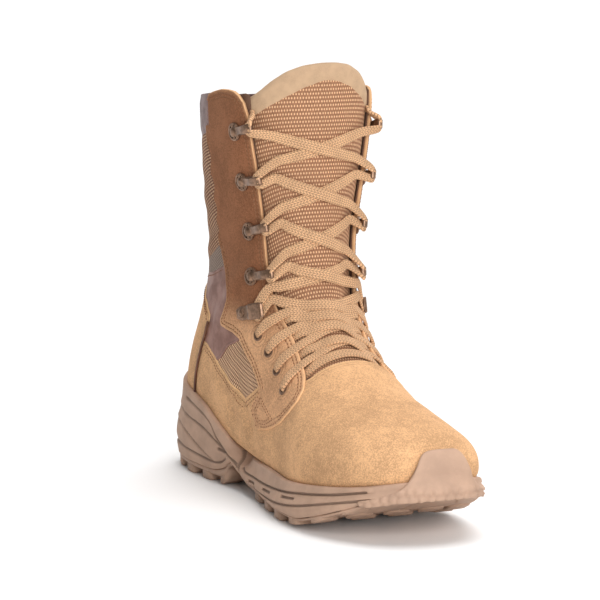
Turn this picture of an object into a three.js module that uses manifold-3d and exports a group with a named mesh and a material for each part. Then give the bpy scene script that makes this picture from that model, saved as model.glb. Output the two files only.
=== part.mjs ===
// A right combat boot, eight inch height, as an assembly of separate pieces, in millimetres.
// +X points to the toe, +Y to the inner (medial) side, +Z up. The origin is on the floor,
// under the middle of the heel.
import * as THREE from "three";
import { mergeVertices } from "three/addons/utils/BufferGeometryUtils.js";
import Module from "manifold-3d";

const wasm = await Module();
wasm.setup();

// A table's rows as records, from the names of its columns.
const tableOf = (names, rows) =>
  rows.map((row) => Object.fromEntries(names.map((name, i) => [name, row[i]])));

// ---- driving dimensions ----
const WALL = 2.2; // upper's wall
const GAP = 0.3; // clearance between pieces that meet
const SMOOTH = 0.07; // furthest a facet may move when slivers are tidied away
const TREAD = 5; // depth of the lugs
const PLATE = 3.5; // least thickness of the outsole
const RIM = 2.8; // thickness of the sole's side wall at its top edge
const BED = 4; // thickness of the insole
const TONGUE = 5.5; // thickness of the padded tongue
const LACE = { wide: 8, thick: 1.6, over: 2.1, clear: 1.1 }; // over the facing, clear of the tongue
const EYELET = { hole: 2.1, foot: 1.5, rim: 1.2, high: 0.9 };
const LOOP = { disc: 5, low: 1.4, reach: 19, thick: 0.9, room: 2.4, half: 2.6, lip: 3 };
const LOCK = { foot: 4.4, low: 1, half: 4.6 };
// How near a lace comes to the hardware: beside it, to its hole, its reach and the throat's edge.
const HOOK = { clear: 0.8, hole: 7, reach: 9, edge: 4, below: 0.1 };
const HARDWARE_LIFT = 0.35; // height of the hardware's foot over the leather
const FLARE = 2.2; // how far the sole's side wall bulges past its outline
const BUMPER = { from: 205, middle: 12.5, half: 14, foot: 32, top: 51, shoulder: 12, round: 6, slope: 3 };
const LUG = { long: 15, wide: 13, corner: 2, inset: 7, count: 28 };
const HEEL_LUG = { long: 10, wide: 18, places: [-22, 22] };
const HEEL_PAD = { long: 16, wide: 14 };
const FORE_LUG = { long: 11, wide: 15, turn: 0.35 };
const FORE_ROWS = { places: [108, 128, 148, 168, 188, 208], pair: [-12, 12], three: [-24, 0, 22] };
const ARCH = { from: 48, to: 92 }; // stretch of the edge that carries no lugs
const OPENING = { inset: 5.5, drop: 7, above: 5, from: 1.4, to: 12.6 }; // under the foot
const TONGUE_ROOM = 0.9; // room between the tongue and the facings
const TONGUE_SWELL = { high: 3.1, from: 7.7, share: 0.62 }; // padding between the facings
const TONGUE_FROM = 6.6; // station of the tongue's lower end
const TONGUE_OVERLAP = 9; // how far the tongue reaches under the facings
const REACH = { back: -60, toe: 262, half: 70, high: 300 }; // limits beyond the whole boot
const SIDES = { outer: -1, inner: 1 }; // sign of Y on each side of the boot

// The upper's outer form: one row for each section, from the toe tip back along the foot, round
// the heel and up the shaft. A section lies in the plane through its base and top points.
const FORM = ["baseX", "baseZ", "topX", "topZ", "outer", "inner", "centre", "widest", "low", "high"];
const LAST = tableOf(FORM, [
  [250, 37, 251, 44, 13, 12, 12, 0.5, 2.2, 2],
  [247.5, 31.5, 248, 50.5, 24, 20.5, 10.5, 0.45, 2.4, 2],
  [240.5, 28, 241, 57.5, 35, 29, 8, 0.42, 2.6, 2.1],
  [228, 24.5, 229, 63.5, 42.5, 37, 5.5, 0.38, 2.8, 2.2],
  [209, 19.5, 211, 68.5, 47.5, 42.5, 3, 0.34, 3, 2.2],
  [186, 16.5, 190, 74, 49.5, 46, 1, 0.31, 3.4, 2.15],
  [162, 16, 171, 81, 49, 46, 0, 0.29, 4, 2.1],
  [137, 17, 154.5, 88.5, 46, 43.5, 0, 0.29, 4.6, 2.1],
  [110, 19, 139, 96, 43.5, 40.5, 0, 0.31, 5.2, 2.1],
  [80, 21.5, 126, 103.5, 42, 39, 0, 0.34, 5.4, 2.2],
  [47, 24.5, 115.5, 112.5, 42.5, 39.5, 0, 0.38, 5, 2.3],
  [12, 26.5, 108.5, 122.5, 43.5, 40, 0, 0.41, 4.2, 2.4],
  [-20, 28.5, 104.5, 133, 43.5, 40, 0, 0.44, 3.4, 2.5],
  [-42.5, 37, 102.5, 144, 44, 40, 0, 0.46, 2.8, 2.7],
  [-50, 54, 101, 155.5, 42.5, 39.5, 0, 0.48, 2.2, 2.8],
  [-44.5, 77, 100, 167.5, 39, 39, 0, 0.5, 2.1, 2.9],
  [-33.5, 101, 99.5, 180, 38, 39.5, 0, 0.51, 2.1, 3],
  [-23.5, 128, 99.5, 193, 39, 41, 0, 0.52, 2.1, 3.1],
  [-19, 157, 100, 207, 41.5, 42.5, 0, 0.53, 2.1, 3.2],
  [-18.5, 188, 100.5, 222.5, 44.5, 45, 0, 0.53, 2.2, 3.2],
  [-19.5, 222, 101, 241, 46, 47, 0, 0.53, 2.2, 3.2],
  [-20.5, 258, 101.5, 264, 46.5, 47.5, 0, 0.53, 2.2, 3.2],
]);
const END = LAST.length - 1;

// The sole's outline on the floor: half widths to each side of the heel's centre line.
const OUTLINE = tableOf(["x", "outer", "inner"], [
  [-56, 0, 0],
  [-52, 20, 18],
  [-39, 36.5, 33],
  [-12, 44, 39.5],
  [30, 44, 39],
  [65, 41.5, 36],
  [95, 42.5, 37],
  [125, 48, 42],
  [155, 53, 47.5],
  [185, 53.5, 49.5],
  [210, 48, 47.5],
  [232, 37, 42.5],
  [247, 22, 34],
  [254.5, 5, 24],
  [256.5, -10, 10],
]);

// Heights along the boot: the tread's lowest line, the top of the outsole plate, the bed on
// which the insole lies, and the top edge of the sole's side wall.
const HEIGHTS = tableOf(["x", "ground", "plate", "bed", "wall"], [
  [-60, 3, 12, 29, 62],
  [-40, 0.5, 10, 29, 59.5],
  [-20, 0, 10, 28.5, 55],
  [2, 0, 10, 28, 52],
  [25, 0, 10, 27.5, 46.5],
  [40, 0, 11, 26.5, 41],
  [50, 3, 14, 25.5, 35.5],
  [58, 14, 19, 24.5, 31],
  [72, 5, 14, 23, 26.5],
  [88, 0, 9.5, 21, 24.8],
  [122, 0, 8.5, 18.5, 25],
  [158, 0, 8.5, 17.5, 24.5],
  [185, 3, 9, 18, 26.5],
  [200, 7, 12.5, 19.5, 28],
  [212, 11.5, 16, 21.5, 29.3],
  [222, 15.5, 19.5, 24, 30.5],
  [232, 20, 23.5, 27.5, 32],
  [244, 24, 27.5, 31, 34.5],
  [262, 28, 31, 35, 38],
]);

// The throat: half its width, measured round the section from the front centre line.
const THROAT = tableOf(["at", "half"], [
  [7.35, 0],
  [7.42, 25],
  [7.6, 31.5],
  [7.95, 29.5],
  [8.8, 27],
  [9.6, 26],
  [10.4, 27.5],
  [11.3, 31],
  [12.5, 34],
  [14.9, 37],
  [16.5, 39],
  [18.3, 42],
  [20, 46],
  [21, 48],
]);

// Lacing stations up the throat: the hardware's kind, its station on the form, and how far its
// rivet is set back from the throat's edge.
const LACING = tableOf(["kind", "at", "back"], [
  ["eyelet", 8.05, 17.5],
  ["eyelet", 8.95, 17.5],
  ["eyelet", 9.85, 18.5],
  ["eyelet", 10.8, 20],
  ["lock", 12.3, 27],
  ["loop", 13.55, 13],
  ["loop", 15.8, 13],
  ["loop", 17.8, 13.5],
  ["loop", 19.4, 13.5],
]);

// A lock's side outline: a foot plate that steps up to a roof with its front edge turned down.
const LOCK_LINE = tableOf(["x", "z"], [
  [-4, 0.4],
  [6, 0.4],
  [9, 2.6],
  [19, 2.6],
  [20, 1],
  [21, 1.2],
  [20.4, 3.7],
  [8.4, 3.7],
  [5.5, 1.5],
  [-4, 1.5],
]);

// The collar's edge in side view, from the rounded top of the facings back to the heel, and the
// tongue's in front view. Each row is a curve's bend and its end.
const COLLAR = tableOf(["bendX", "bendZ", "x", "z"], [
  [140, 230, 140, 220],
  [115, 225, 90, 230],
  [88, 246, 66, 247],
  [30, 245.5, -5, 240],
  [-30, 236, -80, 234],
]);
const TONGUE_TOP = tableOf(["bendX", "bendZ", "x", "z"], [
  [-80, 230, -80, 225],
  [-60, 231.5, -40, 238],
  [-30, 262, 0, 264.5],
  [30, 262, 40, 238],
  [60, 231.5, 80, 225],
]);

// ---- reading the tables ----

// Catmull-Rom value through four neighbours, k from 0 to 1 between the middle two.
function spline(a, b, c, d, k) {
  return b + 0.5 * k * (c - a + k * (2 * a - 5 * b + 4 * c - d + k * (3 * (b - c) + d - a)));
}

// One column of a table at a fractional row.
function column(table, name, row) {
  const last = table.length - 1;
  const i = Math.min(Math.max(Math.floor(row), 0), last - 1);
  const cell = (n) => table[Math.min(Math.max(n, 0), last)][name];
  return spline(cell(i - 1), cell(i), cell(i + 1), cell(i + 2), row - i);
}

// The fractional row at which a rising column reaches a value.
function rowOf(table, name, value) {
  const last = table.length - 1;
  let i = 0;
  while (i < last - 1 && table[i + 1][name] < value) i++;
  return i + (value - table[i][name]) / (table[i + 1][name] - table[i][name]);
}

const heightAt = (name, x) => column(HEIGHTS, name, rowOf(HEIGHTS, "x", x));
const throatAt = (at) => Math.max(0, column(THROAT, "half", rowOf(THROAT, "at", Math.min(at, END))));

// ---- the upper's form ----

// A point of the form. Angle 0 is the front centre line, a right angle is the widest place
// on one side and two right angles the base. Lift moves the surface outwards.
function formPoint(at, angle, side, lift = 0) {
  const cell = (name) => column(LAST, name, at);
  const base = new THREE.Vector3(cell("baseX"), 0, cell("baseZ"));
  const top = new THREE.Vector3(cell("topX"), 0, cell("topZ"));
  const along = top.clone().sub(base).normalize();
  const ahead = Math.max(0, 1 - at / 2) * lift;
  base.addScaledVector(along, -lift);
  base.x += ahead;
  const depth = base.distanceTo(top.addScaledVector(along, lift));
  const widest = cell("widest");
  const half = (side < 0 ? cell("outer") : cell("inner")) + lift;
  const power = 2 / (angle < Math.PI / 2 ? cell("high") : cell("low"));
  const reach = Math.abs(Math.cos(angle)) ** power;
  const share = angle < Math.PI / 2 ? widest + (1 - widest) * reach : widest - widest * reach;
  const point = base.addScaledVector(along, share * depth);
  point.y = cell("centre") + side * half * Math.abs(Math.sin(angle)) ** power;
  return point;
}

// The angle at which the way round the section from the front centre line has a given length.
function angleAt(at, side, length) {
  const STEP = 0.02;
  let [angle, gone, before] = [0, 0, formPoint(at, 0, side)];
  while (angle < Math.PI - STEP) {
    const next = formPoint(at, angle + STEP, side);
    const step = next.distanceTo(before);
    if (gone + step >= length) return angle + (STEP * (length - gone)) / step;
    [gone, before, angle] = [gone + step, next, angle + STEP];
  }
  return angle;
}

// Position and outward direction of the form at a place beside the throat.
function placeAt(at, side, length, lift = 0) {
  const angle = angleAt(at, side, length);
  const point = formPoint(at, angle, side, lift);
  const up = formPoint(at + 0.05, angleAt(at + 0.05, side, length), side, lift).sub(point).normalize();
  const round = formPoint(at, angle + 0.03, side, lift).sub(point).normalize();
  const out = new THREE.Vector3().crossVectors(round, up).multiplyScalar(-side).normalize();
  if (out.dot(formPoint(at, angle, side, lift + 1).sub(point)) < 0) out.negate();
  return { point, out, up };
}

// ---- solids ----

// A closed surface from rings of points, each ring closed, with a fan over both ends.
function ringsGeometry(rings) {
  const [n, points, faces] = [rings[0].length, rings.flat(), []];
  const middle = (ring) => ring.reduce((a, p) => a.add(p), new THREE.Vector3()).divideScalar(n);
  for (let r = 0; r + 1 < rings.length; r++)
    for (let i = 0; i < n; i++) {
      const [a, b] = [r * n + i, r * n + ((i + 1) % n)];
      faces.push(a, b, b + n, a, b + n, a + n);
    }
  const ends = [points.push(middle(rings[0])) - 1, points.push(middle(rings.at(-1))) - 1];
  const lastRing = (rings.length - 1) * n;
  for (let i = 0; i < n; i++) {
    const j = (i + 1) % n;
    faces.push(ends[0], j, i, ends[1], lastRing + i, lastRing + j);
  }
  const geometry = new THREE.BufferGeometry().setFromPoints(points);
  geometry.setIndex(faces);
  return geometry;
}

// A geometry's closed surface as a solid that can be joined and cut.
function solid(geometry) {
  const bare = new THREE.BufferGeometry().setAttribute("position", geometry.getAttribute("position"));
  if (geometry.index) bare.setIndex(geometry.index);
  const merged = mergeVertices(bare, 1e-4);
  const triVerts = new Uint32Array(merged.index.array);
  const vertProperties = merged.attributes.position.array;
  const make = () => new wasm.Manifold(new wasm.Mesh({ numProp: 3, vertProperties, triVerts }));
  const made = make();
  if (made.volume() >= 0) return made;
  for (let i = 0; i < triVerts.length; i += 3)
    [triVerts[i + 1], triVerts[i + 2]] = [triVerts[i + 2], triVerts[i + 1]];
  return make();
}

function geometryOf(made) {
  const mesh = made.simplify(SMOOTH).getMesh();
  const geometry = new THREE.BufferGeometry();
  geometry.setAttribute("position", new THREE.BufferAttribute(new Float32Array(mesh.vertProperties), 3));
  geometry.setIndex(new THREE.BufferAttribute(new Uint32Array(mesh.triVerts), 1));
  geometry.computeVertexNormals();
  return geometry;
}

// The largest of a solid's separate bodies.
function largest(made) {
  return made.decompose().sort((a, b) => b.volume() - a.volume())[0];
}

// The form as a closed tube, lifted outwards or inwards.
function formSolid(lift, rows, columns, from = 0, to = END) {
  const rings = [];
  for (let r = 0; r <= rows; r++) {
    const at = from + ((to - from) * r) / rows;
    const ring = [];
    for (let c = 0; c < columns; c++) {
      const turn = (2 * Math.PI * c) / columns;
      const angle = turn <= Math.PI ? turn : 2 * Math.PI - turn;
      ring.push(formPoint(at, angle, turn <= Math.PI ? SIDES.outer : SIDES.inner, lift));
    }
    rings.push(ring);
  }
  return solid(ringsGeometry(rings));
}

// Stations from one to another, both included.
function spread(from, to, count) {
  return Array.from({ length: count + 1 }, (_, i) => from + ((to - from) * i) / count);
}

// A slab of the form between two lifts, at a list of stations, to a width on each side given by
// a function of the station. The lifts are functions of the share of that width and the station.
function slabOfForm(stations, columns, half, lifts) {
  const rings = [];
  for (const at of stations) {
    const line = (lift) => {
      const points = [];
      for (let c = -columns; c <= columns; c++) {
        const side = c < 0 ? SIDES.outer : SIDES.inner;
        const share = Math.abs(c) / columns;
        const angle = angleAt(at, side, half(at) * share);
        points.push(formPoint(at, angle, side, lift(share, at)));
      }
      return points;
    };
    rings.push([...line(lifts[0]), ...line(lifts[1]).reverse()]);
  }
  return solid(ringsGeometry(rings));
}

// An outline as a prism along one axis. Side outlines are drawn in x and z, front outlines in
// y and z, plans in x and y.
const AXES = {
  side: [new THREE.Vector3(1, 0, 0), new THREE.Vector3(0, 0, 1), new THREE.Vector3(0, -1, 0)],
  front: [new THREE.Vector3(0, 1, 0), new THREE.Vector3(0, 0, 1), new THREE.Vector3(1, 0, 0)],
  plan: [new THREE.Vector3(1, 0, 0), new THREE.Vector3(0, 1, 0), new THREE.Vector3(0, 0, 1)],
};
function prism(view, shape, from, to) {
  const made = { depth: to - from, bevelEnabled: false, curveSegments: 4 };
  const geometry = new THREE.ExtrudeGeometry(shape, made);
  geometry.translate(0, 0, from).applyMatrix4(new THREE.Matrix4().makeBasis(...AXES[view]));
  return solid(geometry);
}

// A side prism between two heights that follow the boot, across its whole width.
function band(lower, upper) {
  const STEPS = 34;
  const xs = spread(REACH.back, REACH.toe, STEPS);
  const line = [...xs.map((x) => [x, lower(x)]), ...xs.reverse().map((x) => [x, upper(x)])];
  const shape = new THREE.Shape(line.map(([x, z]) => new THREE.Vector2(x, z)));
  return prism("side", shape, -REACH.half, REACH.half);
}

const form = {
  outer: formSolid(0, 28, 22),
  inner: formSolid(-WALL, 24, 18),
  cavity: formSolid(GAP, 28, 22),
};
const bedAt = (x) => heightAt("bed", x);
const aboveBed = (rise) => band((x) => bedAt(x) + rise, () => REACH.high);

// ---- upper ----

// All that lies above an edge drawn by a table of curves.
function aboveEdge(rows) {
  const shape = new THREE.Shape();
  shape.moveTo(rows[0].x, REACH.high);
  for (const { bendX, bendZ, x, z } of rows) shape.quadraticCurveTo(bendX, bendZ, x, z);
  shape.lineTo(rows.at(-1).x, REACH.high);
  return shape;
}

// The opening under the foot, inside the turned-in lower edge of the wall.
function footOpening(shrink = 0) {
  const inside = formSolid(-WALL - OPENING.inset - shrink, 16, 18, OPENING.from, OPENING.to);
  const under = (x) => bedAt(x) + OPENING.above;
  return inside.translate([0, 0, -OPENING.drop]).intersect(band(() => -REACH.half, under));
}

function makeUpper() {
  const rows = THROAT.map((row) => row.at);
  const stations = rows.flatMap((at, i) => (i ? [(rows[i - 1] + at) / 2, at] : [at]));
  const throat = slabOfForm(stations, 4, throatAt, [() => -9, () => 9]);
  const made = form.outer
    .subtract(form.inner)
    .subtract(throat)
    .subtract(footOpening())
    .subtract(prism("side", aboveEdge(COLLAR), -REACH.half, REACH.half))
    .intersect(aboveBed(GAP));
  return largest(made);
}

// ---- sole ----

// The sole's outline as points and outward directions, evenly spread round it.
function outlinePoints(count, shrink = 0) {
  const half = (side) =>
    OUTLINE.map((row) => new THREE.Vector3(row.x, side * row[side < 0 ? "outer" : "inner"], 0));
  const loop = [...half(SIDES.outer), ...half(SIDES.inner).slice(1, -1).reverse()];
  const curve = new THREE.CatmullRomCurve3(loop, true, "centripetal");
  return Array.from({ length: count }, (_, i) => {
    const tangent = curve.getTangentAt(i / count);
    const out = new THREE.Vector3(tangent.y, -tangent.x, 0).normalize();
    return { point: curve.getPointAt(i / count).addScaledVector(out, -shrink), out };
  });
}

// How far the form's surface lies outside the outline, at a height.
const bothSides = new THREE.MeshBasicMaterial({ side: THREE.DoubleSide });
const formMesh = new THREE.Mesh(geometryOf(form.outer), bothSides);
function hug({ point, out }, z) {
  const MISSED = -12; // well inside, where the form doesn't reach this height
  const FAR = 40;
  const start = point.clone().setZ(z).addScaledVector(out, FAR);
  const hit = new THREE.Raycaster(start, out.clone().negate()).intersectObject(formMesh)[0];
  return hit ? FAR - hit.distance : MISSED;
}

// A body with the sole's outline at its foot that leans in to the upper at its top edge.
function sideWall(bottom, top, columns = 56) {
  const RINGS = [0, 0.15, 0.35, 0.55, 0.75, 1];
  const rings = RINGS.map((share) =>
    outlinePoints(columns).map((place) => {
      const x = place.point.x;
      const z = bottom(x) + (top(x) - bottom(x)) * share;
      const lean = share ** 1.6;
      const swell = FLARE * Math.sin(Math.PI * Math.min(1, share * 1.5));
      const free = (1 - lean) * swell + lean * (hug(place, top(x)) + RIM);
      const outwards = Math.max(free, hug(place, z) + RIM);
      return place.point.clone().addScaledVector(place.out, outwards).setZ(z);
    }),
  );
  return solid(ringsGeometry(rings));
}

const plateTop = (x) => heightAt("plate", x);
const wallTop = (x) => heightAt("wall", x);

// The bumper's front outline, wider below, set towards the inner side with the toe.
function bumperShape(grow) {
  const { middle, shoulder, round, slope } = BUMPER;
  const [half, foot, top] = [BUMPER.half + grow, BUMPER.foot + grow, BUMPER.top + grow];
  const shape = new THREE.Shape();
  shape.moveTo(middle - foot, 0);
  shape.lineTo(middle - half - slope, top - shoulder);
  shape.quadraticCurveTo(middle - half, top, middle - half + round, top);
  shape.lineTo(middle + half - round, top);
  shape.quadraticCurveTo(middle + half, top, middle + half + slope, top - shoulder);
  shape.lineTo(middle + foot, 0);
  return shape;
}
const bumperZone = (grow) => prism("front", bumperShape(grow), BUMPER.from - grow, REACH.high);
const cavity = form.cavity.intersect(aboveBed(0));

function makeMidsole() {
  const foot = (x) => plateTop(x) + GAP;
  const wall = sideWall((x) => plateTop(x) - PLATE, wallTop).intersect(band(foot, () => REACH.high));
  return largest(wall.subtract(bumperZone(GAP)).subtract(cavity));
}

// One lug's plan: a block with its corners cut, at a place and a turn.
function lugShape(x, y, { long, wide }, turn) {
  const [a, b, cut] = [long / 2, wide / 2, LUG.corner];
  const quarter = [[a, b - cut], [a - cut, b]];
  const corners = [
    ...quarter,
    ...quarter.map(([u, v]) => [-u, v]).reverse(),
    ...quarter.map(([u, v]) => [-u, -v]),
    ...quarter.map(([u, v]) => [u, -v]).reverse(),
  ];
  const [c, s] = [Math.cos(turn), Math.sin(turn)];
  const place = ([u, v]) => new THREE.Vector2(x + c * u - s * v, y + s * u + c * v);
  return new THREE.Shape(corners.map(place));
}

// Lugs round the edge, and rows of smaller ones inside, under the heel and the forefoot.
function lugPlans() {
  const plans = [lugShape(0, 0, HEEL_PAD, 0)];
  for (const { point, out } of outlinePoints(LUG.count, LUG.inset))
    if (point.x < ARCH.from || point.x > ARCH.to)
      plans.push(lugShape(point.x, point.y, LUG, Math.atan2(out.y, out.x)));
  for (const x of HEEL_LUG.places) plans.push(lugShape(x, 0, HEEL_LUG, 0));
  for (const [row, x] of FORE_ROWS.places.entries()) {
    const [places, turn] = row % 2 ? [FORE_ROWS.three, 1] : [FORE_ROWS.pair, -1];
    for (const y of places) plans.push(lugShape(x, y, FORE_LUG, turn * FORE_LUG.turn));
  }
  return plans;
}

function makeOutsole() {
  const EDGE = { count: 56, inset: 1.2 };
  const places = outlinePoints(EDGE.count, EDGE.inset);
  const edge = places.map(({ point }) => new THREE.Vector2(point.x, point.y));
  const plan = prism("plan", new THREE.Shape(edge), 0, REACH.half);
  const ground = (x) => Math.max(0, heightAt("ground", x));
  const lugs = lugPlans().map((shape) => prism("plan", shape, 0, REACH.half));
  const tread = wasm.Manifold.union(lugs).intersect(band(ground, (x) => plateTop(x) - 1));
  const plate = band((x) => Math.min(ground(x) + TREAD, plateTop(x) - PLATE), plateTop);
  const toe = sideWall((x) => plateTop(x) - PLATE, () => BUMPER.top).intersect(bumperZone(0));
  const bumper = toe.intersect(band((x) => plateTop(x) - 1, () => REACH.high));
  return largest(plan.intersect(tread.add(plate)).add(bumper).subtract(cavity));
}

// ---- insole and tongue ----

function makeInsole() {
  const inside = formSolid(-WALL - GAP, 24, 18).add(footOpening(GAP)).intersect(form.outer);
  return inside.intersect(band((x) => bedAt(x) + GAP, (x) => bedAt(x) + GAP + BED));
}

// The tongue lies under the throat, stands up above the collar and ends in a round top.
function tongueLift(share, at) {
  const { high, from } = TONGUE_SWELL;
  const round = Math.min(1, share / TONGUE_SWELL.share);
  const swell = high * Math.min(1, Math.max(0, at - from)) * Math.cos((round * Math.PI) / 2) ** 2;
  return swell - WALL - GAP - TONGUE_ROOM;
}
function makeTongue() {
  const lifts = [(share, at) => tongueLift(share, at) - TONGUE, tongueLift];
  const slab = slabOfForm(spread(TONGUE_FROM, END, 18), 4, tongueHalf, lifts);
  return largest(slab.subtract(prism("front", aboveEdge(TONGUE_TOP), REACH.back, REACH.high)));
}

// ---- lacing hardware ----

// Turns a piece made round the origin, +Z out of the leather and +Y up the throat, to its place.
function setOn(piece, { point, out, up }, lift) {
  const across = new THREE.Vector3().crossVectors(up, out).normalize();
  const level = new THREE.Vector3().crossVectors(out, across).normalize();
  piece.matrix.makeBasis(across, level, out).setPosition(point.clone().addScaledVector(out, lift));
  piece.matrix.decompose(piece.position, piece.quaternion, piece.scale);
}

function eyeletGeometry() {
  const { hole, foot, rim, high } = EYELET;
  const profile = [[hole, 0], [hole + foot, 0], [hole + rim, high], [hole, high], [hole, 0]];
  const line = profile.map(([r, z]) => new THREE.Vector2(r, z));
  return new THREE.LatheGeometry(line, 8).rotateX(Math.PI / 2);
}

// A round foot, centred on its rivet.
const round = (radius) => new THREE.Shape().absarc(0, 0, radius, 0, 2 * Math.PI);
const disc = (radius, high) => prism("plan", round(radius), 0, high);
const turned = (made, towards) => geometryOf(towards < 0 ? made.rotate([0, 0, 180]) : made);

// A lace loop: a riveted disc whose strap runs to the throat and folds back on itself.
function loopGeometry(towards) {
  const { reach, thick, room, lip } = LOOP;
  const hairpin = (inset, back) => {
    const path = new THREE.Shape();
    const turn = reach - room;
    path.moveTo(back, inset);
    path.lineTo(turn, inset);
    path.absarc(turn, room, room - inset, -Math.PI / 2, Math.PI / 2, false);
    path.lineTo(turn - lip, 2 * room - inset);
    path.lineTo(back, 2 * thick - inset / lip);
    return path;
  };
  const side = hairpin(0, 0);
  side.holes.push(hairpin(thick, LOOP.disc));
  return turned(disc(LOOP.disc, LOOP.low).add(prism("side", side, -LOOP.half, LOOP.half)), towards);
}

// A lace lock: a plate that stands off the leather on its rivet.
function lockGeometry(towards) {
  const roof = new THREE.Shape(LOCK_LINE.map(({ x, z }) => new THREE.Vector2(x, z)));
  return turned(disc(LOCK.foot, LOCK.low).add(prism("side", roof, -LOCK.half, LOCK.half)), towards);
}

// ---- lace ----

const tongueHalf = (at) => throatAt(Math.max(at, THROAT[2].at)) + TONGUE_OVERLAP;

// A flat strip across the throat. Each end has a station and a distance round the form from
// the front centre line, less than nothing on the outer side; it lies over the facing on the
// side of its start and sinks to the tongue on the other.
function laceStrip(start, end, over) {
  const HALF = 3; // steps from either end to the centre line
  const total = start.round - end.round;
  const placed = (round) => {
    const at = start.at + ((end.at - start.at) * (start.round - round)) / total;
    const rest = tongueLift(Math.abs(round) / tongueHalf(at), at) + LACE.thick / 2 + LACE.clear;
    const outside = round * start.round > 0 && over;
    return placeAt(at, Math.sign(round) || 1, Math.abs(round), outside ? Math.max(LACE.over, rest) : rest);
  };
  const rings = [];
  const rounds = [...spread(start.round, 0, HALF), ...spread(0, end.round, HALF).slice(1)];
  for (const round of rounds) {
    const here = placed(round);
    const ahead = placed(round - total * 0.03).point.sub(placed(round + total * 0.03).point);
    const flat = new THREE.Vector3().crossVectors(here.out, ahead).normalize();
    const corners = [[-1, -1], [1, -1], [1, 1], [-1, 1]];
    rings.push(
      corners.map(([u, v]) =>
        here.point.clone()
          .addScaledVector(flat, (u * LACE.wide) / 2)
          .addScaledVector(here.out, (v * LACE.thick) / 2),
      ),
    );
  }
  return solid(ringsGeometry(rings));
}

// The pair of strips between one station and the next, crossing over the tongue.
function makeCrossing(low, high) {
  const pitch = (at) => formPoint(at - 0.5, 0, 1).distanceTo(formPoint(at + 0.5, 0, 1));
  const clear = ({ at }) => (LACE.wide / 2 + HOOK.clear) / pitch(at);
  const [laced, hooked] = [low.kind === "eyelet", high.kind !== "eyelet"];
  const strip = (side) => {
    const start = {
      at: low.at + (laced ? 0 : clear(low)),
      round: -side * (throatAt(low.at) + (laced ? low.back - HOOK.hole : -HOOK.reach)),
    };
    const end = {
      at: high.at - (hooked ? clear(high) : 0),
      round: side * (throatAt(high.at) - (hooked ? HOOK.reach : HOOK.edge)),
    };
    return laceStrip(start, end, laced);
  };
  return strip(1).add(strip(-1));
}

function makeBar() {
  const at = LACING[0].at - HOOK.below;
  const round = throatAt(at) - HOOK.edge;
  return laceStrip({ at, round: -round }, { at, round }, false);
}

// ---- assembly ----

const boot = new THREE.Group();
const LOOKS = {
  suede: { color: 0xbf8550, roughness: 0.95, metalness: 0 },
  rubber: { color: 0xa3826c, roughness: 0.75, metalness: 0 },
  foam: { color: 0xa98a73, roughness: 0.8, metalness: 0 },
  lining: { color: 0x6b4a36, roughness: 0.95, metalness: 0 },
  weave: { color: 0x9c6f4b, roughness: 0.9, metalness: 0 },
  gunmetal: { color: 0x5f5148, roughness: 0.4, metalness: 0.9 },
  lace: { color: 0xb58a5c, roughness: 0.9, metalness: 0 },
};
function addPiece(name, geometry, look) {
  const mesh = new THREE.Mesh(geometry, new THREE.MeshStandardMaterial(LOOKS[look]));
  mesh.name = name;
  boot.add(mesh);
  return mesh;
}

addPiece("upper", geometryOf(makeUpper()), "suede");
addPiece("midsole", geometryOf(makeMidsole()), "foam");
addPiece("outsole", geometryOf(makeOutsole()), "rubber");
addPiece("insole", geometryOf(makeInsole()), "lining");
addPiece("tongue", geometryOf(makeTongue()), "weave");

for (const [row, { kind, at, back }] of LACING.entries())
  for (const [name, side] of Object.entries(SIDES)) {
    const place = placeAt(at, side, throatAt(at) + back);
    const build = { eyelet: eyeletGeometry, lock: lockGeometry, loop: loopGeometry }[kind];
    const piece = addPiece(`${kind}_${name}_${row + 1}`, build(-side), "gunmetal");
    setOn(piece, place, HARDWARE_LIFT);
  }

for (let i = 0; i + 1 < LACING.length; i++)
  addPiece(`lace_crossing_${i + 1}`, geometryOf(makeCrossing(LACING[i], LACING[i + 1])), "lace");
addPiece("lace_bar", geometryOf(makeBar()), "lace");

export default boot;
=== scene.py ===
"""Looks of a right combat boot in tan suede, woven cloth and moulded rubber.

The boot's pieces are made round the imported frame, in its own axes: +X to the toe, +Y to the inner
side, +Z up. Sizes in the tables and helpers are millimetres; meshes are in metres. A place on the
upper is a station along the boot (a row of LAST, with fractions) and a girth, the way round that
section from the front centre line: less than nothing on the outer side, more on the inner side.
"""

import math

import bmesh
import bpy
import numpy as np
from bpy.props import FloatProperty, FloatVectorProperty, PointerProperty
from mathutils import Matrix, Vector
from mathutils.bvhtree import BVHTree
from mathutils.kdtree import KDTree


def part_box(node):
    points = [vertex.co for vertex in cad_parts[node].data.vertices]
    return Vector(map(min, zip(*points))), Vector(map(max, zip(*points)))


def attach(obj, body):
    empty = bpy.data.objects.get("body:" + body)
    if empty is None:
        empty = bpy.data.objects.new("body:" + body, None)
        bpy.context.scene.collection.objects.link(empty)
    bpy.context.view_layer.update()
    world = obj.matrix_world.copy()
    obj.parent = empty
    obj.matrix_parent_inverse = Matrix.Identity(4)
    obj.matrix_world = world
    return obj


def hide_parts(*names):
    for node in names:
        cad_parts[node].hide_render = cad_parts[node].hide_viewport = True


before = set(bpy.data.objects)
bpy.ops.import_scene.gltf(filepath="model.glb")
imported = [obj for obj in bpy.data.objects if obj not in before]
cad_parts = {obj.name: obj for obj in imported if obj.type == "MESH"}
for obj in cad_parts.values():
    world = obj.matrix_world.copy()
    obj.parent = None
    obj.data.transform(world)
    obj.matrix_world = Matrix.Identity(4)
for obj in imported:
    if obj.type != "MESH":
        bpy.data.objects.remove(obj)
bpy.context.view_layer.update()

NODE_BOX = {name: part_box(name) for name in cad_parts}

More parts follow.
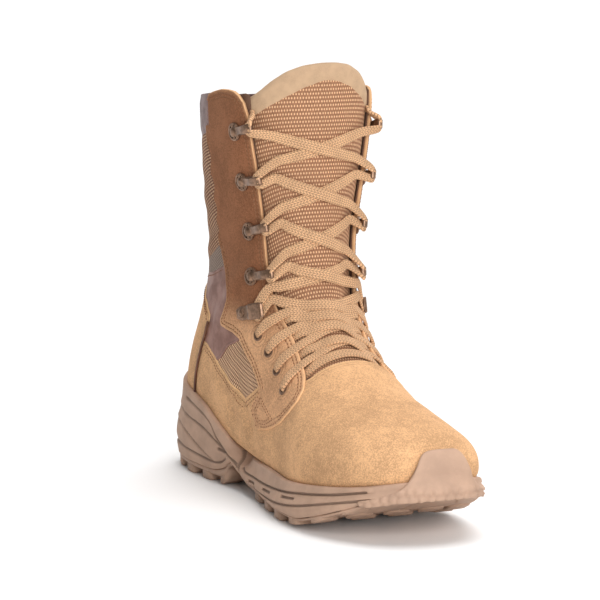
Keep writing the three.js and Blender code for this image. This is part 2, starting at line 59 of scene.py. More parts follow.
bl_info = {
    "name": "Combat boot",
    "version": (1, 0, 0),
    "blender": (4, 5, 0),
    "location": "3D View > Sidebar > Boot",
    "description": "Builds a suede combat boot, piece by piece, round its packed frame",
    "category": "Add Mesh",
}

MM = 0.001
BODY = "root"
SIDES = {"outer": -1, "inner": 1}

# ---- the boot's own sizes ----

LAST_COLUMNS = ("baseX", "baseZ", "topX", "topZ", "outer", "inner", "centre", "widest", "low", "high")
LAST = (
    (250, 37, 251, 44, 13, 12, 12, 0.5, 2.2, 2),
    (247.5, 31.5, 248, 50.5, 24, 20.5, 10.5, 0.45, 2.4, 2),
    (240.5, 28, 241, 57.5, 35, 29, 8, 0.42, 2.6, 2.1),
    (228, 24.5, 229, 63.5, 42.5, 37, 5.5, 0.38, 2.8, 2.2),
    (209, 19.5, 211, 68.5, 47.5, 42.5, 3, 0.34, 3, 2.2),
    (186, 16.5, 190, 74, 49.5, 46, 1, 0.31, 3.4, 2.15),
    (162, 16, 171, 81, 49, 46, 0, 0.29, 4, 2.1),
    (137, 17, 154.5, 88.5, 46, 43.5, 0, 0.29, 4.6, 2.1),
    (110, 19, 139, 96, 43.5, 40.5, 0, 0.31, 5.2, 2.1),
    (80, 21.5, 126, 103.5, 42, 39, 0, 0.34, 5.4, 2.2),
    (47, 24.5, 115.5, 112.5, 42.5, 39.5, 0, 0.38, 5, 2.3),
    (12, 26.5, 108.5, 122.5, 43.5, 40, 0, 0.41, 4.2, 2.4),
    (-20, 28.5, 104.5, 133, 43.5, 40, 0, 0.44, 3.4, 2.5),
    (-42.5, 37, 102.5, 144, 44, 40, 0, 0.46, 2.8, 2.7),
    (-50, 54, 101, 155.5, 42.5, 39.5, 0, 0.48, 2.2, 2.8),
    (-44.5, 77, 100, 167.5, 39, 39, 0, 0.5, 2.1, 2.9),
    (-33.5, 101, 99.5, 180, 38, 39.5, 0, 0.51, 2.1, 3),
    (-23.5, 128, 99.5, 193, 39, 41, 0, 0.52, 2.1, 3.1),
    (-19, 157, 100, 207, 41.5, 42.5, 0, 0.53, 2.1, 3.2),
    (-18.5, 188, 100.5, 222.5, 44.5, 45, 0, 0.53, 2.2, 3.2),
    (-19.5, 222, 101, 241, 46, 47, 0, 0.53, 2.2, 3.2),
    (-20.5, 258, 101.5, 264, 46.5, 47.5, 0, 0.53, 2.2, 3.2),
)
OUTLINE_COLUMNS = ("x", "outer", "inner")
OUTLINE = (
    (-56, 0, 0), (-52, 20, 18), (-39, 36.5, 33), (-12, 44, 39.5), (30, 44, 39),
    (65, 41.5, 36), (95, 42.5, 37), (125, 48, 42), (155, 53, 47.5), (185, 53.5, 49.5),
    (210, 48, 47.5), (232, 37, 42.5), (247, 22, 34), (254.5, 5, 24), (256.5, -10, 10),
)
HEIGHTS_COLUMNS = ("x", "ground", "plate", "bed", "wall")
HEIGHTS = (
    (-60, 3, 12, 29, 62), (-40, 0.5, 10, 29, 59.5), (-20, 0, 10, 28.5, 55), (2, 0, 10, 28, 52),
    (25, 0, 10, 27.5, 46.5), (40, 0, 11, 26.5, 39.5), (50, 3, 14, 25.5, 34.2), (58, 14, 18.6, 24.5, 28.6),
    (65, 9, 16, 23.8, 24.9), (73, 4.6, 13.6, 23, 22.6), (82, 1.6, 11, 21.7, 23.4), (98, 0, 9.2, 20, 23.8),
    (122, 0, 8.5, 18.5, 24.8), (158, 0, 8.5, 17.5, 24.5), (185, 3, 9, 18, 26.5), (200, 7, 12.5, 19.5, 28),
    (212, 11.5, 16, 21.5, 29.3), (222, 15.5, 19.5, 24, 30.5), (232, 20, 23.5, 27.5, 32),
    (244, 24, 27.5, 31, 34.5), (262, 28, 31, 35, 38),
)
SOLE_REACH = (HEIGHTS[0][0], HEIGHTS[-1][0])
THROAT_COLUMNS = ("at", "half")
THROAT = (
    (7.35, 0), (7.42, 25), (7.6, 31.5), (7.95, 29.5), (8.8, 27), (9.6, 26), (10.4, 27.5),
    (11.3, 31), (12.5, 34), (14.9, 37), (16.5, 39), (18.3, 42), (20, 46), (21, 48),
)
# Each row of the lacing: its hardware, its station, and how far back from the throat's edge it sits.
LACING = (
    ("eyelet", 8.05, 17.5), ("eyelet", 8.95, 17.5), ("eyelet", 9.85, 18.5), ("eyelet", 10.8, 20),
    ("lock", 12.3, 27), ("loop", 13.55, 13), ("loop", 15.8, 13), ("loop", 17.8, 13.5),
    ("loop", 19.4, 13.5),
)
TABLES = {
    name: {key: np.array([row[i] for row in rows]) for i, key in enumerate(columns)}
    for name, rows, columns in (
        ("last", LAST, LAST_COLUMNS),
        ("outline", OUTLINE, OUTLINE_COLUMNS),
        ("heights", HEIGHTS, HEIGHTS_COLUMNS),
        ("throat", THROAT, THROAT_COLUMNS),
    )
}

# Heights of the layers over the upper's form: each layer's under and outer face.
LAYERS = {
    "lining": (-2.5, -1.5),
    "cloth": (-1.6, -0.95),
    "ankle": (-1.5, -0.6),
    "quarter": (-1.5, -0.45),
    "counter": (-1.4, -0.15),
    "backstay": (-1.3, 0.0),
    "collar": (-1.4, -0.2),
    "facing": (-1.5, 0.5),
}

TONGUE_OVERLAP = 9  # how far the tongue reaches under the facings
TONGUE_SINK = -3.4  # height of its outer face over the form, at its edges
TONGUE_SWELL = 3.1  # how much higher its padding stands between the facings
TONGUE_PADDED = 0.62  # part of its half width that the padding takes

# ---- reading the tables ----


def spline(a, b, c, d, k):
    """Catmull-Rom value through four neighbours, k from 0 to 1 between the middle two."""
    return b + 0.5 * k * (c - a + k * (2 * a - 5 * b + 4 * c - d + k * (3 * (b - c) + d - a)))


def column(table, name, row):
    """One column of a table at fractional rows."""
    cells = TABLES[table][name]
    last = len(cells) - 1
    row = np.asarray(row, float)
    i = np.clip(np.floor(row).astype(int), 0, last - 1)
    near = [cells[np.clip(i + step, 0, last)] for step in (-1, 0, 1, 2)]
    return spline(*near, row - i)


def row_of(table, name, value):
    """The fractional rows at which a rising column reaches values."""
    cells = TABLES[table][name]
    i = np.clip(np.searchsorted(cells, value) - 1, 0, len(cells) - 2)
    return i + (value - cells[i]) / (cells[i + 1] - cells[i])


def height_at(name, x):
    return column("heights", name, row_of("heights", "x", np.asarray(x, float)))


def throat_at(at):
    """How far the throat's edge is from the front centre line."""
    at = np.minimum(np.asarray(at, float), 21)
    return np.maximum(0, column("throat", "half", row_of("throat", "at", at)))


def smooth(low, high, value):
    """0 below low, 1 above high, and a soft step between them."""
    k = np.clip((np.asarray(value, float) - low) / (high - low), 0, 1)
    return k * k * (3 - 2 * k)


def length_along(points):
    """How far along a line each of its points lies."""
    return np.append(0, np.cumsum(np.linalg.norm(np.diff(points, axis=0), axis=1)))


# ---- the upper's form ----


def form(at, angle, side):
    """Points of the form. Angle 0 is the front centre line and two right angles the base."""
    at, angle, side = np.broadcast_arrays(*[np.asarray(v, float) for v in (at, angle, side)])
    cell = {name: column("last", name, at) for name in LAST_COLUMNS}
    zero = 0 * at
    base = np.stack([cell["baseX"], zero, cell["baseZ"]], -1)
    top = np.stack([cell["topX"], zero, cell["topZ"]], -1)
    upper = angle < math.pi / 2
    power = 2 / np.where(upper, cell["high"], cell["low"])
    reach = np.abs(np.cos(angle)) ** power
    widest = cell["widest"]
    share = np.where(upper, widest + (1 - widest) * reach, widest - widest * reach)
    point = base + (top - base) * share[..., None]
    half = np.where(side < 0, cell["outer"], cell["inner"])
    point[..., 1] = cell["centre"] + side * half * np.abs(np.sin(angle)) ** power
    return point


STATIONS = np.arange(0, 21.46, 0.05)
GIRTHS = np.arange(-236.0, 236.5, 1.0)

# Soft folds of the worn leather: both ends of each, how far they spread, and how high they stand.
FOLDS = (
    (62, -43, 68, 80, -42, 46, 5.5, 1.1),
    (72, -42, 64, 92, -42, 42, 4.5, -1.2),
    (46, -43, 62, 66, -43, 48, 5, -1.0),
    (36, -44, 66, 50, -43, 52, 6, 0.9),
    (100, -42, 44, 120, -44, 36, 7, 0.8),
    (124, -44, 46, 150, -46, 40, 7, -0.7),
    (150, -36, 66, 172, -40, 52, 8, 0.7),
    (160, -26, 76, 186, -20, 68, 9, -0.8),
    (168, 10, 79, 172, 34, 66, 9, -0.8),
    (62, 41, 68, 80, 40, 46, 5.5, 1.0),
    (72, 40, 64, 92, 40, 42, 4.5, -1.0),
    (100, 40, 46, 124, 42, 38, 7, 0.8),
    (44, -42, 118, 26, -40, 108, 5, -0.9),
    (40, -41, 128, 10, -39, 116, 5, 0.9),
    (30, -42, 104, 6, -41, 98, 4.5, -0.8),
    (44, 41, 118, 20, 40, 108, 5, -0.9),
    (28, -39, 146, -2, -36, 138, 7, 0.9),
    (26, -40, 158, -4, -36, 152, 7, -1.1),
    (28, 41, 146, -2, 38, 138, 7, -0.9),
    (74, -40, 150, 52, -40, 138, 6, -0.7),
    (76, -40, 128, 60, -41, 118, 6, -0.8),
    (-4, -38, 170, 20, -42, 176, 9, 0.8),
    (-4, -40, 196, 18, -44, 200, 9, -0.8),
)


def fold_rise(points):
    """How far the folds lift or sink the form at points."""
    total = np.zeros(points.shape[:-1])
    for x0, y0, z0, x1, y1, z1, spread, rise in FOLDS:
        start = np.array((x0, y0, z0), float)
        way = np.array((x1, y1, z1), float) - start
        share = np.clip(((points - start) @ way) / (way @ way), 0, 1)
        gap = np.linalg.norm(points - start - share[..., None] * way, axis=-1)
        total += rise * np.exp(-((gap / spread) ** 2))
    return total


def measure_form():
    """The form on an even grid of stations and girths: points, outward directions, half girths."""
    angles = np.linspace(0, math.pi, 361)
    points = np.zeros((len(STATIONS), len(GIRTHS), 3))
    half = np.zeros((2, len(STATIONS)))
    for i, at in enumerate(STATIONS):
        for k, side in enumerate((-1, 1)):
            section = form(at, angles, side)
            gone = length_along(section)
            mine = GIRTHS * side >= 0
            turn = np.interp(np.abs(GIRTHS[mine]), gone, angles)
            points[i, mine] = form(at, turn, side)
            half[k, i] = gone[-1]
    out = np.cross(np.gradient(points, axis=1), np.gradient(points, axis=0))
    size = np.linalg.norm(out, axis=-1)
    for i in range(len(STATIONS)):
        good = np.flatnonzero((GIRTHS > 2 - half[0, i]) & (GIRTHS < half[1, i] - 2))
        out[i, : good[0]] = out[i, good[0]]
        out[i, good[-1] :] = out[i, good[-1]]
        size[i, : good[0]] = size[i, good[0]]
        size[i, good[-1] :] = size[i, good[-1]]
    out /= np.maximum(size, 1e-9)[..., None]
    middle = np.searchsorted(GIRTHS, 0)
    if out[len(STATIONS) // 2, middle, 0] < 0:
        out = -out
    points += out * fold_rise(points)[..., None]
    return points, out, half


POINTS, OUTWARDS, HALF_GIRTH = measure_form()
FRONT_LENGTH = length_along(POINTS[:, len(GIRTHS) // 2])
SIDE_LENGTH = length_along(POINTS[:, len(GIRTHS) // 2 + 100])


def half_girth(at, side):
    """The whole way round one side of the section, from the front to the base or heel line."""
    return np.interp(at, STATIONS, HALF_GIRTH[0 if side < 0 else 1])


def skin(at, girth, lift=0.0):
    """Points over the upper's form, by station, girth and height over it."""
    at, girth, lift = np.broadcast_arrays(*[np.asarray(v, float) for v in (at, girth, lift)])
    row = np.clip((at - STATIONS[0]) / (STATIONS[1] - STATIONS[0]), 0, len(STATIONS) - 1.001)
    col = np.clip((girth - GIRTHS[0]) / (GIRTHS[1] - GIRTHS[0]), 0, len(GIRTHS) - 1.001)
    i, j = row.astype(int), col.astype(int)
    p, q = (row - i)[..., None], (col - j)[..., None]

    def between(grid):
        low = grid[i, j] * (1 - q) + grid[i, j + 1] * q
        high = grid[i + 1, j] * (1 - q) + grid[i + 1, j + 1] * q
        return low * (1 - p) + high * p

    out = between(OUTWARDS)
    out /= np.linalg.norm(out, axis=-1)[..., None]
    return between(POINTS) + out * lift[..., None]


def skin_back(at, across, lift=0.0):
    """The same, by the way round from the heel line: less than nothing on the outer side."""
    across = np.asarray(across, float)
    outer = -(half_girth(at, -1) + np.minimum(across, 0))
    inner = half_girth(at, 1) - np.maximum(across, 0)
    return skin(at, np.where(across < 0, outer, inner), lift)


def tongue_half(at):
    """The tongue's half width, from the front centre line round to its edge."""
    return throat_at(np.maximum(at, 7.6)) + TONGUE_OVERLAP


def tongue_lift(at, girth):
    """Height of the tongue's outer face over the form."""
    share = np.abs(girth) / tongue_half(at)
    swell = TONGUE_SWELL * np.clip(at - 7.7, 0, 1)
    return TONGUE_SINK + swell * np.cos(np.minimum(1, share / TONGUE_PADDED) * math.pi / 2) ** 2


def tongue_skin(at, girth, lift=0.0):
    """Points over the tongue's outer face."""
    return skin(at, girth, tongue_lift(at, girth) + lift)


def girth_at_height(at, side, height):
    """The girths at which sections pass a height, itself a function of x."""
    at = np.atleast_1d(at)
    reach = np.linspace(5, 232, 455)
    found = []
    for one in at:
        line = skin(one, side * np.minimum(reach, half_girth(one, side)))
        under = line[:, 2] < height(line[:, 0])
        first = int(np.argmax(under)) if under.any() else len(reach) - 1
        found.append(min(reach[first], half_girth(one, side) - 0.5))
    return np.array(found)


# ---- outlines ----


def through(points, count=12):
    """A smooth open line through points of any width, count steps between neighbours."""
    points = np.asarray(points, float)
    ends = np.vstack([2 * points[0] - points[1], points, 2 * points[-1] - points[-2]])
    steps = np.linspace(0, 1, count, endpoint=False)[:, None]
    runs = [spline(*ends[i : i + 4], steps) for i in range(len(points) - 1)]
    return np.vstack([*runs, points[-1:]])


def settle(loop, surface, spacing=0.5, soften=1.5):
    """A closed outline with even spacing on its surface and corners softened over a few mm."""
    loop = np.asarray(loop, float)
    for _ in range(2):
        closed = np.vstack([loop, loop[:1]])
        place = surface(closed[:, 0], closed[:, 1])
        gone = length_along(place)
        steps = np.linspace(0, gone[-1], max(12, int(gone[-1] / spacing)), endpoint=False)
        loop = np.stack([np.interp(steps, gone, closed[:, k]) for k in (0, 1)], 1)
    reach = int(soften / spacing)
    if reach:
        weights = np.hanning(2 * reach + 3)[1:-1]
        weights /= weights.sum()
        around = np.vstack([loop[-reach:], loop, loop[:reach]])
        loop = np.stack([np.convolve(around[:, k], weights, "valid") for k in (0, 1)], 1)
    return loop


def within(loops, a, b):
    """True for points inside an odd number of closed outlines."""
    inside = np.zeros(len(a), bool)
    for loop in loops:
        ends = np.roll(loop, -1, axis=0)
        for (a0, b0), (a1, b1) in zip(loop, ends):
            if b0 != b1:
                cross = (b0 > b) != (b1 > b)
                cross[cross] = a[cross] < a0 + (b[cross] - b0) * (a1 - a0) / (b1 - b0)
                inside ^= cross
    return inside


# ---- making meshes ----


def new_mesh(name, verts, faces, uv=None, edge=None):
    """An object from points in mm, with a UV map in mm and its distance from the cut edge."""
    mesh = bpy.data.meshes.new(name)
    mesh.from_pydata((np.asarray(verts, float) * MM).tolist(), [], faces)
    if uv is not None:
        layer = mesh.uv_layers.new(name="cloth")
        corners = np.zeros(len(mesh.loops), np.int32)
        mesh.loops.foreach_get("vertex_index", corners)
        layer.data.foreach_set("uv", np.asarray(uv, np.float32)[corners].ravel())
    if edge is not None:
        layer = mesh.attributes.new("edge", "FLOAT", "POINT")
        layer.data.foreach_set("value", np.asarray(edge, np.float32))
    mesh.shade_smooth()
    obj = bpy.data.objects.new(name, mesh)
    bpy.context.scene.collection.objects.link(obj)
    return obj


def turn_outward(obj):
    """Turns the faces of a closed piece outwards."""
    bm = bmesh.new()
    bm.from_mesh(obj.data)
    bmesh.ops.recalc_face_normals(bm, faces=bm.faces)
    bm.to_mesh(obj.data)
    bm.free()
    return obj


def ring_faces(rows, count):
    """Faces of four corners between rows of points that each go round."""
    return [
        [r * count + c, r * count + (c + 1) % count, (r + 1) * count + (c + 1) % count, (r + 1) * count + c]
        for r in range(rows - 1)
        for c in range(count)
    ]


def tree_of(points):
    """A search tree over points."""
    tree = KDTree(len(points))
    for i, point in enumerate(points):
        tree.insert(point, i)
    tree.balance()
    return tree


def finish_piece(obj, material, replaces=()):
    """Gives a piece its finish and its place on the boot's body, and hides the nodes it stands for."""
    obj.data.materials.clear()
    obj.data.materials.append(bpy.data.materials[material])
    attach(obj, BODY)
    if replaces:
        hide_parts(*replaces)
    return obj


def as_lift(value):
    """A height as a function of place and distance from the edge."""
    return value if callable(value) else lambda a, b, d: np.full(np.shape(a), float(value))


ROUNDED = ((0.0, 0.42), (0.14, 0.16), (0.45, 0.0))


def panel(name, surface, outline, under, over, step=1.2, rim=ROUNDED, holes=(), soften=1.5, cloth=None):
    """A thin closed piece that follows a surface inside an outline.

    Outline and holes are closed lists of (a, b) places. Under and over are heights over the
    surface, or functions of (a, b, distance from the edge). The rim is a list of distances from
    the edge and how far the outer face drops there, from outside inwards. Cloth turns places
    into UVs in mm.
    """
    under, over = as_lift(under), as_lift(over)
    loops = [settle(outline, surface, soften=soften)] + [settle(h, surface, soften=0) for h in holes]
    border = np.vstack(loops)
    tree = tree_of(surface(border[:, 0], border[:, 1]))
    low, high = border.min(0), border.max(0)
    middle = (low + high) / 2
    counts = []
    for k in (0, 1):
        longest = 0
        for share in (0.1, 0.35, 0.65, 0.9):
            line = np.tile(low + (high - low) * share, (60, 1))
            line[:, k] = np.linspace(low[k], high[k], 60)
            place = surface(line[:, 0], line[:, 1])
            longest = max(longest, np.linalg.norm(np.diff(place, axis=0), axis=1).sum())
        counts.append(max(3, int(longest / step)))
    pad = (high - low) / counts * 1.5
    low, high = low - pad, high + pad
    a = np.linspace(low[0], high[0], counts[0] + 3)
    b = np.linspace(low[1], high[1], counts[1] + 3)
    grid_a, grid_b = [g.ravel() for g in np.meshgrid(a, b, indexing="ij")]

    def nearest(places):
        found = [tree.find(p) for p in surface(places[:, 0], places[:, 1])]
        return np.array([f[1] for f in found]), np.array([f[2] for f in found])

    places = np.stack([grid_a, grid_b], 1)
    index, gap = nearest(places)
    gap = np.where(within(loops, grid_a, grid_b), gap, -gap)
    cut = rim[-1][0]
    near = (np.abs(gap - cut) < 0.33 * step) & (np.abs(gap) > 0.12)
    at_border = border[index]
    places[near] = (at_border + (places - at_border) * (cut / np.where(gap == 0, 1, gap))[:, None])[near]
    gap[near] = cut
    inside = gap >= cut - 1e-9
    verts, nears, gaps = list(places), list(index), list(gap)
    made, faces = {}, []
    nb = len(b)

    def crossing(u, v):
        key = (u, v) if u < v else (v, u)
        if key not in made:
            share = (cut - gap[key[0]]) / (gap[key[1]] - gap[key[0]])
            made[key] = len(verts)
            verts.append(places[key[0]] * (1 - share) + places[key[1]] * share)
            nears.append(-1)
            gaps.append(cut)
        return made[key]

    cells = inside.reshape(len(a), nb)
    filled = cells[:-1, :-1].astype(int) + cells[1:, :-1] + cells[1:, 1:] + cells[:-1, 1:]
    for i, j in np.argwhere(filled > 0):
        corner = [i * nb + j, (i + 1) * nb + j, (i + 1) * nb + j + 1, i * nb + j + 1]
        if filled[i, j] == 4:
            faces.append(corner)
            continue
        ring = []
        for k in range(4):
            u, v = corner[k], corner[(k + 1) % 4]
            if inside[u]:
                ring.append(u)
            if inside[u] != inside[v]:
                gu, gv = gap[u], gap[v]
                if not (inside[u] and gu == cut) and not (inside[v] and gv == cut):
                    ring.append(crossing(u, v))
        if len(set(ring)) > 2:
            faces.append(ring)
    verts, nears, gaps = np.array(verts), np.array(nears), np.array(gaps)
    fresh = nears < 0
    if fresh.any():
        nears[fresh] = nearest(verts[fresh])[0]
    used = np.unique(np.concatenate([np.array(f) for f in faces]))
    order = np.full(len(verts), -1)
    order[used] = np.arange(len(used))
    verts, nears, gaps = verts[used], nears[used], gaps[used]
    faces = [[int(order[v]) for v in f] for f in faces]
    count = {}
    for f in faces:
        for u, v in zip(f, f[1:] + f[:1]):
            count[(u, v)] = count.get((u, v), 0) + 1
    rim_edges = [(u, v) for (u, v) in count if (v, u) not in count]
    rim_verts = sorted({v for e in rim_edges for v in e})
    spot = {v: i for i, v in enumerate(rim_verts)}
    base = verts[rim_verts]
    outer = border[nears[rim_verts]]
    n, m = len(verts), len(rim_verts)

    levels = []
    for gone, drop in rim[::-1][1:]:
        levels.append((outer + (base - outer) * (gone / cut), gone, drop))
    all_a = np.concatenate([verts[:, 0]] + [lv[0][:, 0] for lv in levels])
    all_b = np.concatenate([verts[:, 1]] + [lv[0][:, 1] for lv in levels])
    all_d = np.concatenate([gaps] + [np.full(m, lv[1]) for lv in levels])
    drops = np.concatenate([np.zeros(n)] + [np.full(m, lv[2]) for lv in levels])
    top = surface(all_a, all_b, over(all_a, all_b, all_d) - drops)
    low_a = np.concatenate([verts[:, 0], outer[:, 0]])
    low_b = np.concatenate([verts[:, 1], outer[:, 1]])
    low_d = np.concatenate([gaps, np.zeros(m)])
    bottom = surface(low_a, low_b, under(low_a, low_b, low_d))

    polygons = [list(f) for f in faces]
    starts = [n + m * k for k in range(len(levels))]
    for u, v in rim_edges:
        i, j = spot[u], spot[v]
        previous = (u, v)
        for start in starts:
            polygons.append([previous[1], previous[0], start + i, start + j])
            previous = (start + i, start + j)
        offset = len(top)
        polygons.append([previous[1], previous[0], offset + n + i, offset + n + j])
        polygons.append([offset + n + j, offset + n + i, offset + u, offset + v])
    polygons += [[len(top) + v for v in f[::-1]] for f in faces]
    uv_a, uv_b = np.concatenate([all_a, low_a]), np.concatenate([all_b, low_b])
    uv = np.stack([uv_b, uv_a], 1) if cloth is None else cloth(uv_a, uv_b)
    obj = new_mesh(name, np.vstack([top, bottom]), polygons, uv, np.concatenate([all_d, low_d]))
    sample = len(faces) // 2
    face = obj.data.polygons[sample]
    lifted = surface(verts[faces[sample][0]][0], verts[faces[sample][0]][1], 5.0)
    if face.normal.dot(Vector(lifted * MM) - face.center) < 0:
        obj.data.flip_normals()
    return obj


def ribbon(name, path, normals, widths, thick, corners=12, flatness=0.35):
    """A flat band swept along a path of points in mm, with round edges and closed ends."""
    path, normals = np.asarray(path, float), np.asarray(normals, float)
    widths, thick = np.broadcast_to(widths, len(path)), np.broadcast_to(thick, len(path))
    ahead = np.gradient(path, axis=0)
    ahead /= np.linalg.norm(ahead, axis=1)[:, None]
    normals = normals - ahead * (normals * ahead).sum(1)[:, None]
    normals /= np.linalg.norm(normals, axis=1)[:, None]
    across = np.cross(ahead, normals)
    turn = np.linspace(0, 2 * math.pi, corners, endpoint=False)
    u = np.sign(np.cos(turn)) * np.abs(np.cos(turn)) ** flatness
    v = np.sign(np.sin(turn)) * np.abs(np.sin(turn)) ** 0.8
    rings = (
        path[:, None]
        + across[:, None] * (u[None, :, None] * widths[:, None, None] / 2)
        + normals[:, None] * (v[None, :, None] * thick[:, None, None] / 2)
    )
    gone = length_along(path)
    verts = rings.reshape(-1, 3)
    uv = np.stack([np.tile(u, len(path)) * 4, np.repeat(gone, corners)], 1)
    edge = np.tile(np.abs(v), len(path))
    faces = ring_faces(len(path), corners)
    faces.append(list(range(corners))[::-1])
    faces.append([(len(path) - 1) * corners + c for c in range(corners)])
    return turn_outward(new_mesh(name, verts, faces, uv, edge))


def join(name, objects):
    """Several objects as one."""
    bpy.ops.object.select_all(action="DESELECT")
    for obj in objects:
        obj.select_set(True)
    bpy.context.view_layer.objects.active = objects[0]
    bpy.ops.object.join()
    objects[0].name = name
    objects[0].data.name = name
    bpy.ops.object.select_all(action="DESELECT")
    return objects[0]


# ---- finishes ----


def linear(red, green, blue):
    """A colour given in everyday 0 to 255 steps, as the shaders read it."""
    return tuple(
        v / 255 / 12.92 if v / 255 <= 0.04045 else ((v / 255 + 0.055) / 1.055) ** 2.4
        for v in (red, green, blue)
    )


def opaque(colour):
    return (*colour, 1.0)


def shade(colour, factor):
    """A colour made lighter or darker."""
    return tuple(min(1.0, v * factor) for v in colour)


def add(tree, kind, sockets=None, **settings):
    """A node with its settings; its sockets take values or are fed from other sockets."""
    node = tree.nodes.new(kind)
    for key, value in settings.items():
        setattr(node, key, value)
    for key, value in (sockets or {}).items():
        if isinstance(value, bpy.types.NodeSocket):
            tree.links.new(value, node.inputs[key])
        else:
            node.inputs[key].default_value = value
    return node


def calc(tree, operation, *values):
    """The result of a sum on sockets and numbers."""
    return add(tree, "ShaderNodeMath", dict(enumerate(values)), operation=operation).outputs[0]


def ramp(tree, value, low, high, start=0.0, end=1.0):
    """A soft step from start to end as a value goes from low to high."""
    sockets = {"Value": value, "From Min": low, "From Max": high, "To Min": start, "To Max": end}
    return add(tree, "ShaderNodeMapRange", sockets, interpolation_type="SMOOTHSTEP").outputs[0]


def mix(tree, factor, first, second, mode="MIX"):
    node = add(tree, "ShaderNodeMix", {0: factor, 6: first, 7: second}, data_type="RGBA", blend_type=mode)
    return node.outputs[2]


def noise(tree, place, size, detail=2.0, rough=0.5):
    """Soft noise about 0.5, with blobs of a size in mm."""
    sockets = {"Vector": place, "Scale": 1.0 / size, "Detail": detail, "Roughness": rough}
    return add(tree, "ShaderNodeTexNoise", sockets).outputs[0]


def tinted(tree, colour, mask, share, tint):
    """A colour taken part of the way to a tint under a mask."""
    return mix(tree, calc(tree, "MULTIPLY", mask, share), colour, opaque(tint))


def parts(tree, vector):
    return add(tree, "ShaderNodeSeparateXYZ", {0: vector}).outputs


SOCKETS = {float: "NodeSocketFloat", tuple: "NodeSocketVector"}


def shader_group(name, inputs, outputs, build):
    """A shader node group with named inputs and outputs, built once."""
    if name in bpy.data.node_groups:
        return bpy.data.node_groups[name]
    tree = bpy.data.node_groups.new(name, "ShaderNodeTree")
    for key, value in inputs.items():
        made = tree.interface.new_socket(name=key, in_out="INPUT", socket_type=SOCKETS[type(value)])
        made.default_value = value
    for key in outputs:
        tree.interface.new_socket(name=key, in_out="OUTPUT", socket_type="NodeSocketFloat")
    given = add(tree, "NodeGroupInput").outputs
    add(tree, "NodeGroupOutput", dict(zip(outputs, build(tree, given))))
    return tree


def nap_group():
    """Brushed suede: patches where the nap lies over, and short fibres."""

    def build(tree, given):
        place = given["Place"]
        size = given["Patch"]
        spread = add(tree, "ShaderNodeVectorMath", {0: place, "Scale": calc(tree, "DIVIDE", 1, size)},
                     operation="SCALE").outputs[0]
        broad = noise(tree, spread, 1.0, 3.0, 0.55)
        small = noise(tree, spread, 0.21, 3.0, 0.6)
        fibre = noise(tree, place, 0.95, 2.0, 0.8)
        tone = calc(tree, "MULTIPLY_ADD", broad, 1.25, -0.62)
        tone = calc(tree, "ADD", tone, calc(tree, "MULTIPLY_ADD", small, 0.7, -0.35))
        level = calc(tree, "MULTIPLY", given["Fibre"], -0.5)
        speck = calc(tree, "MULTIPLY_ADD", fibre, given["Fibre"], level)
        tone = calc(tree, "ADD", calc(tree, "ADD", tone, speck), 0.5)
        height = calc(tree, "ADD", fibre, calc(tree, "MULTIPLY", small, 0.6))
        return [ramp(tree, tone, 0.0, 1.0), height]

    inputs = {"Place": (0.0, 0.0, 0.0), "Patch": 26.0, "Fibre": 2.5}
    return shader_group("Nap", inputs, ("Tone", "Height"), build)


def grain_group():
    """Smooth leather: small pebbled cells with fine creases between them."""

    def build(tree, given):
        place = given["Place"]
        sockets = {"Vector": place, "Scale": calc(tree, "DIVIDE", 1, given["Cell"])}
        cells = add(tree, "ShaderNodeTexVoronoi", sockets, feature="DISTANCE_TO_EDGE").outputs[0]
        pebble = ramp(tree, cells, 0.0, 0.35)
        broad = noise(tree, place, 14.0, 4.0, 0.6)
        height = calc(tree, "MULTIPLY_ADD", pebble, 0.5, noise(tree, place, 3.0))
        return [ramp(tree, broad, 0.3, 0.7), height]

    return shader_group("Grain", {"Place": (0.0, 0.0, 0.0), "Cell": 0.9}, ("Tone", "Height"), build)


def weave_group():
    """Floats of thick thread in rows, every other row shifted, on a darker ground."""

    def build(tree, given):
        cloth = parts(tree, given["Cloth"])
        row = calc(tree, "DIVIDE", cloth[1], given["Along"])
        shift = calc(tree, "MULTIPLY", calc(tree, "FLOOR", row), given["Shift"])
        col = calc(tree, "ADD", calc(tree, "DIVIDE", cloth[0], given["Across"]), shift)
        u = calc(tree, "SUBTRACT", calc(tree, "FRACT", col), 0.5)
        v = calc(tree, "SUBTRACT", calc(tree, "FRACT", row), 0.5)
        u = calc(tree, "POWER", calc(tree, "ABSOLUTE", calc(tree, "DIVIDE", u, given["Wide"])), 2.0)
        v = calc(tree, "POWER", calc(tree, "ABSOLUTE", calc(tree, "DIVIDE", v, given["Tall"])), 2.4)
        far = calc(tree, "ADD", u, v)
        thread = ramp(tree, far, 1.25, 0.5)
        height = calc(tree, "SQRT", calc(tree, "MAXIMUM", calc(tree, "SUBTRACT", 1, far), 0))
        return [thread, height]

    inputs = {"Cloth": (0.0, 0.0, 0.0), "Across": 1.8, "Along": 2.4, "Wide": 0.3, "Tall": 0.3, "Shift": 0.5}
    return shader_group("Weave", inputs, ("Thread", "Height"), build)


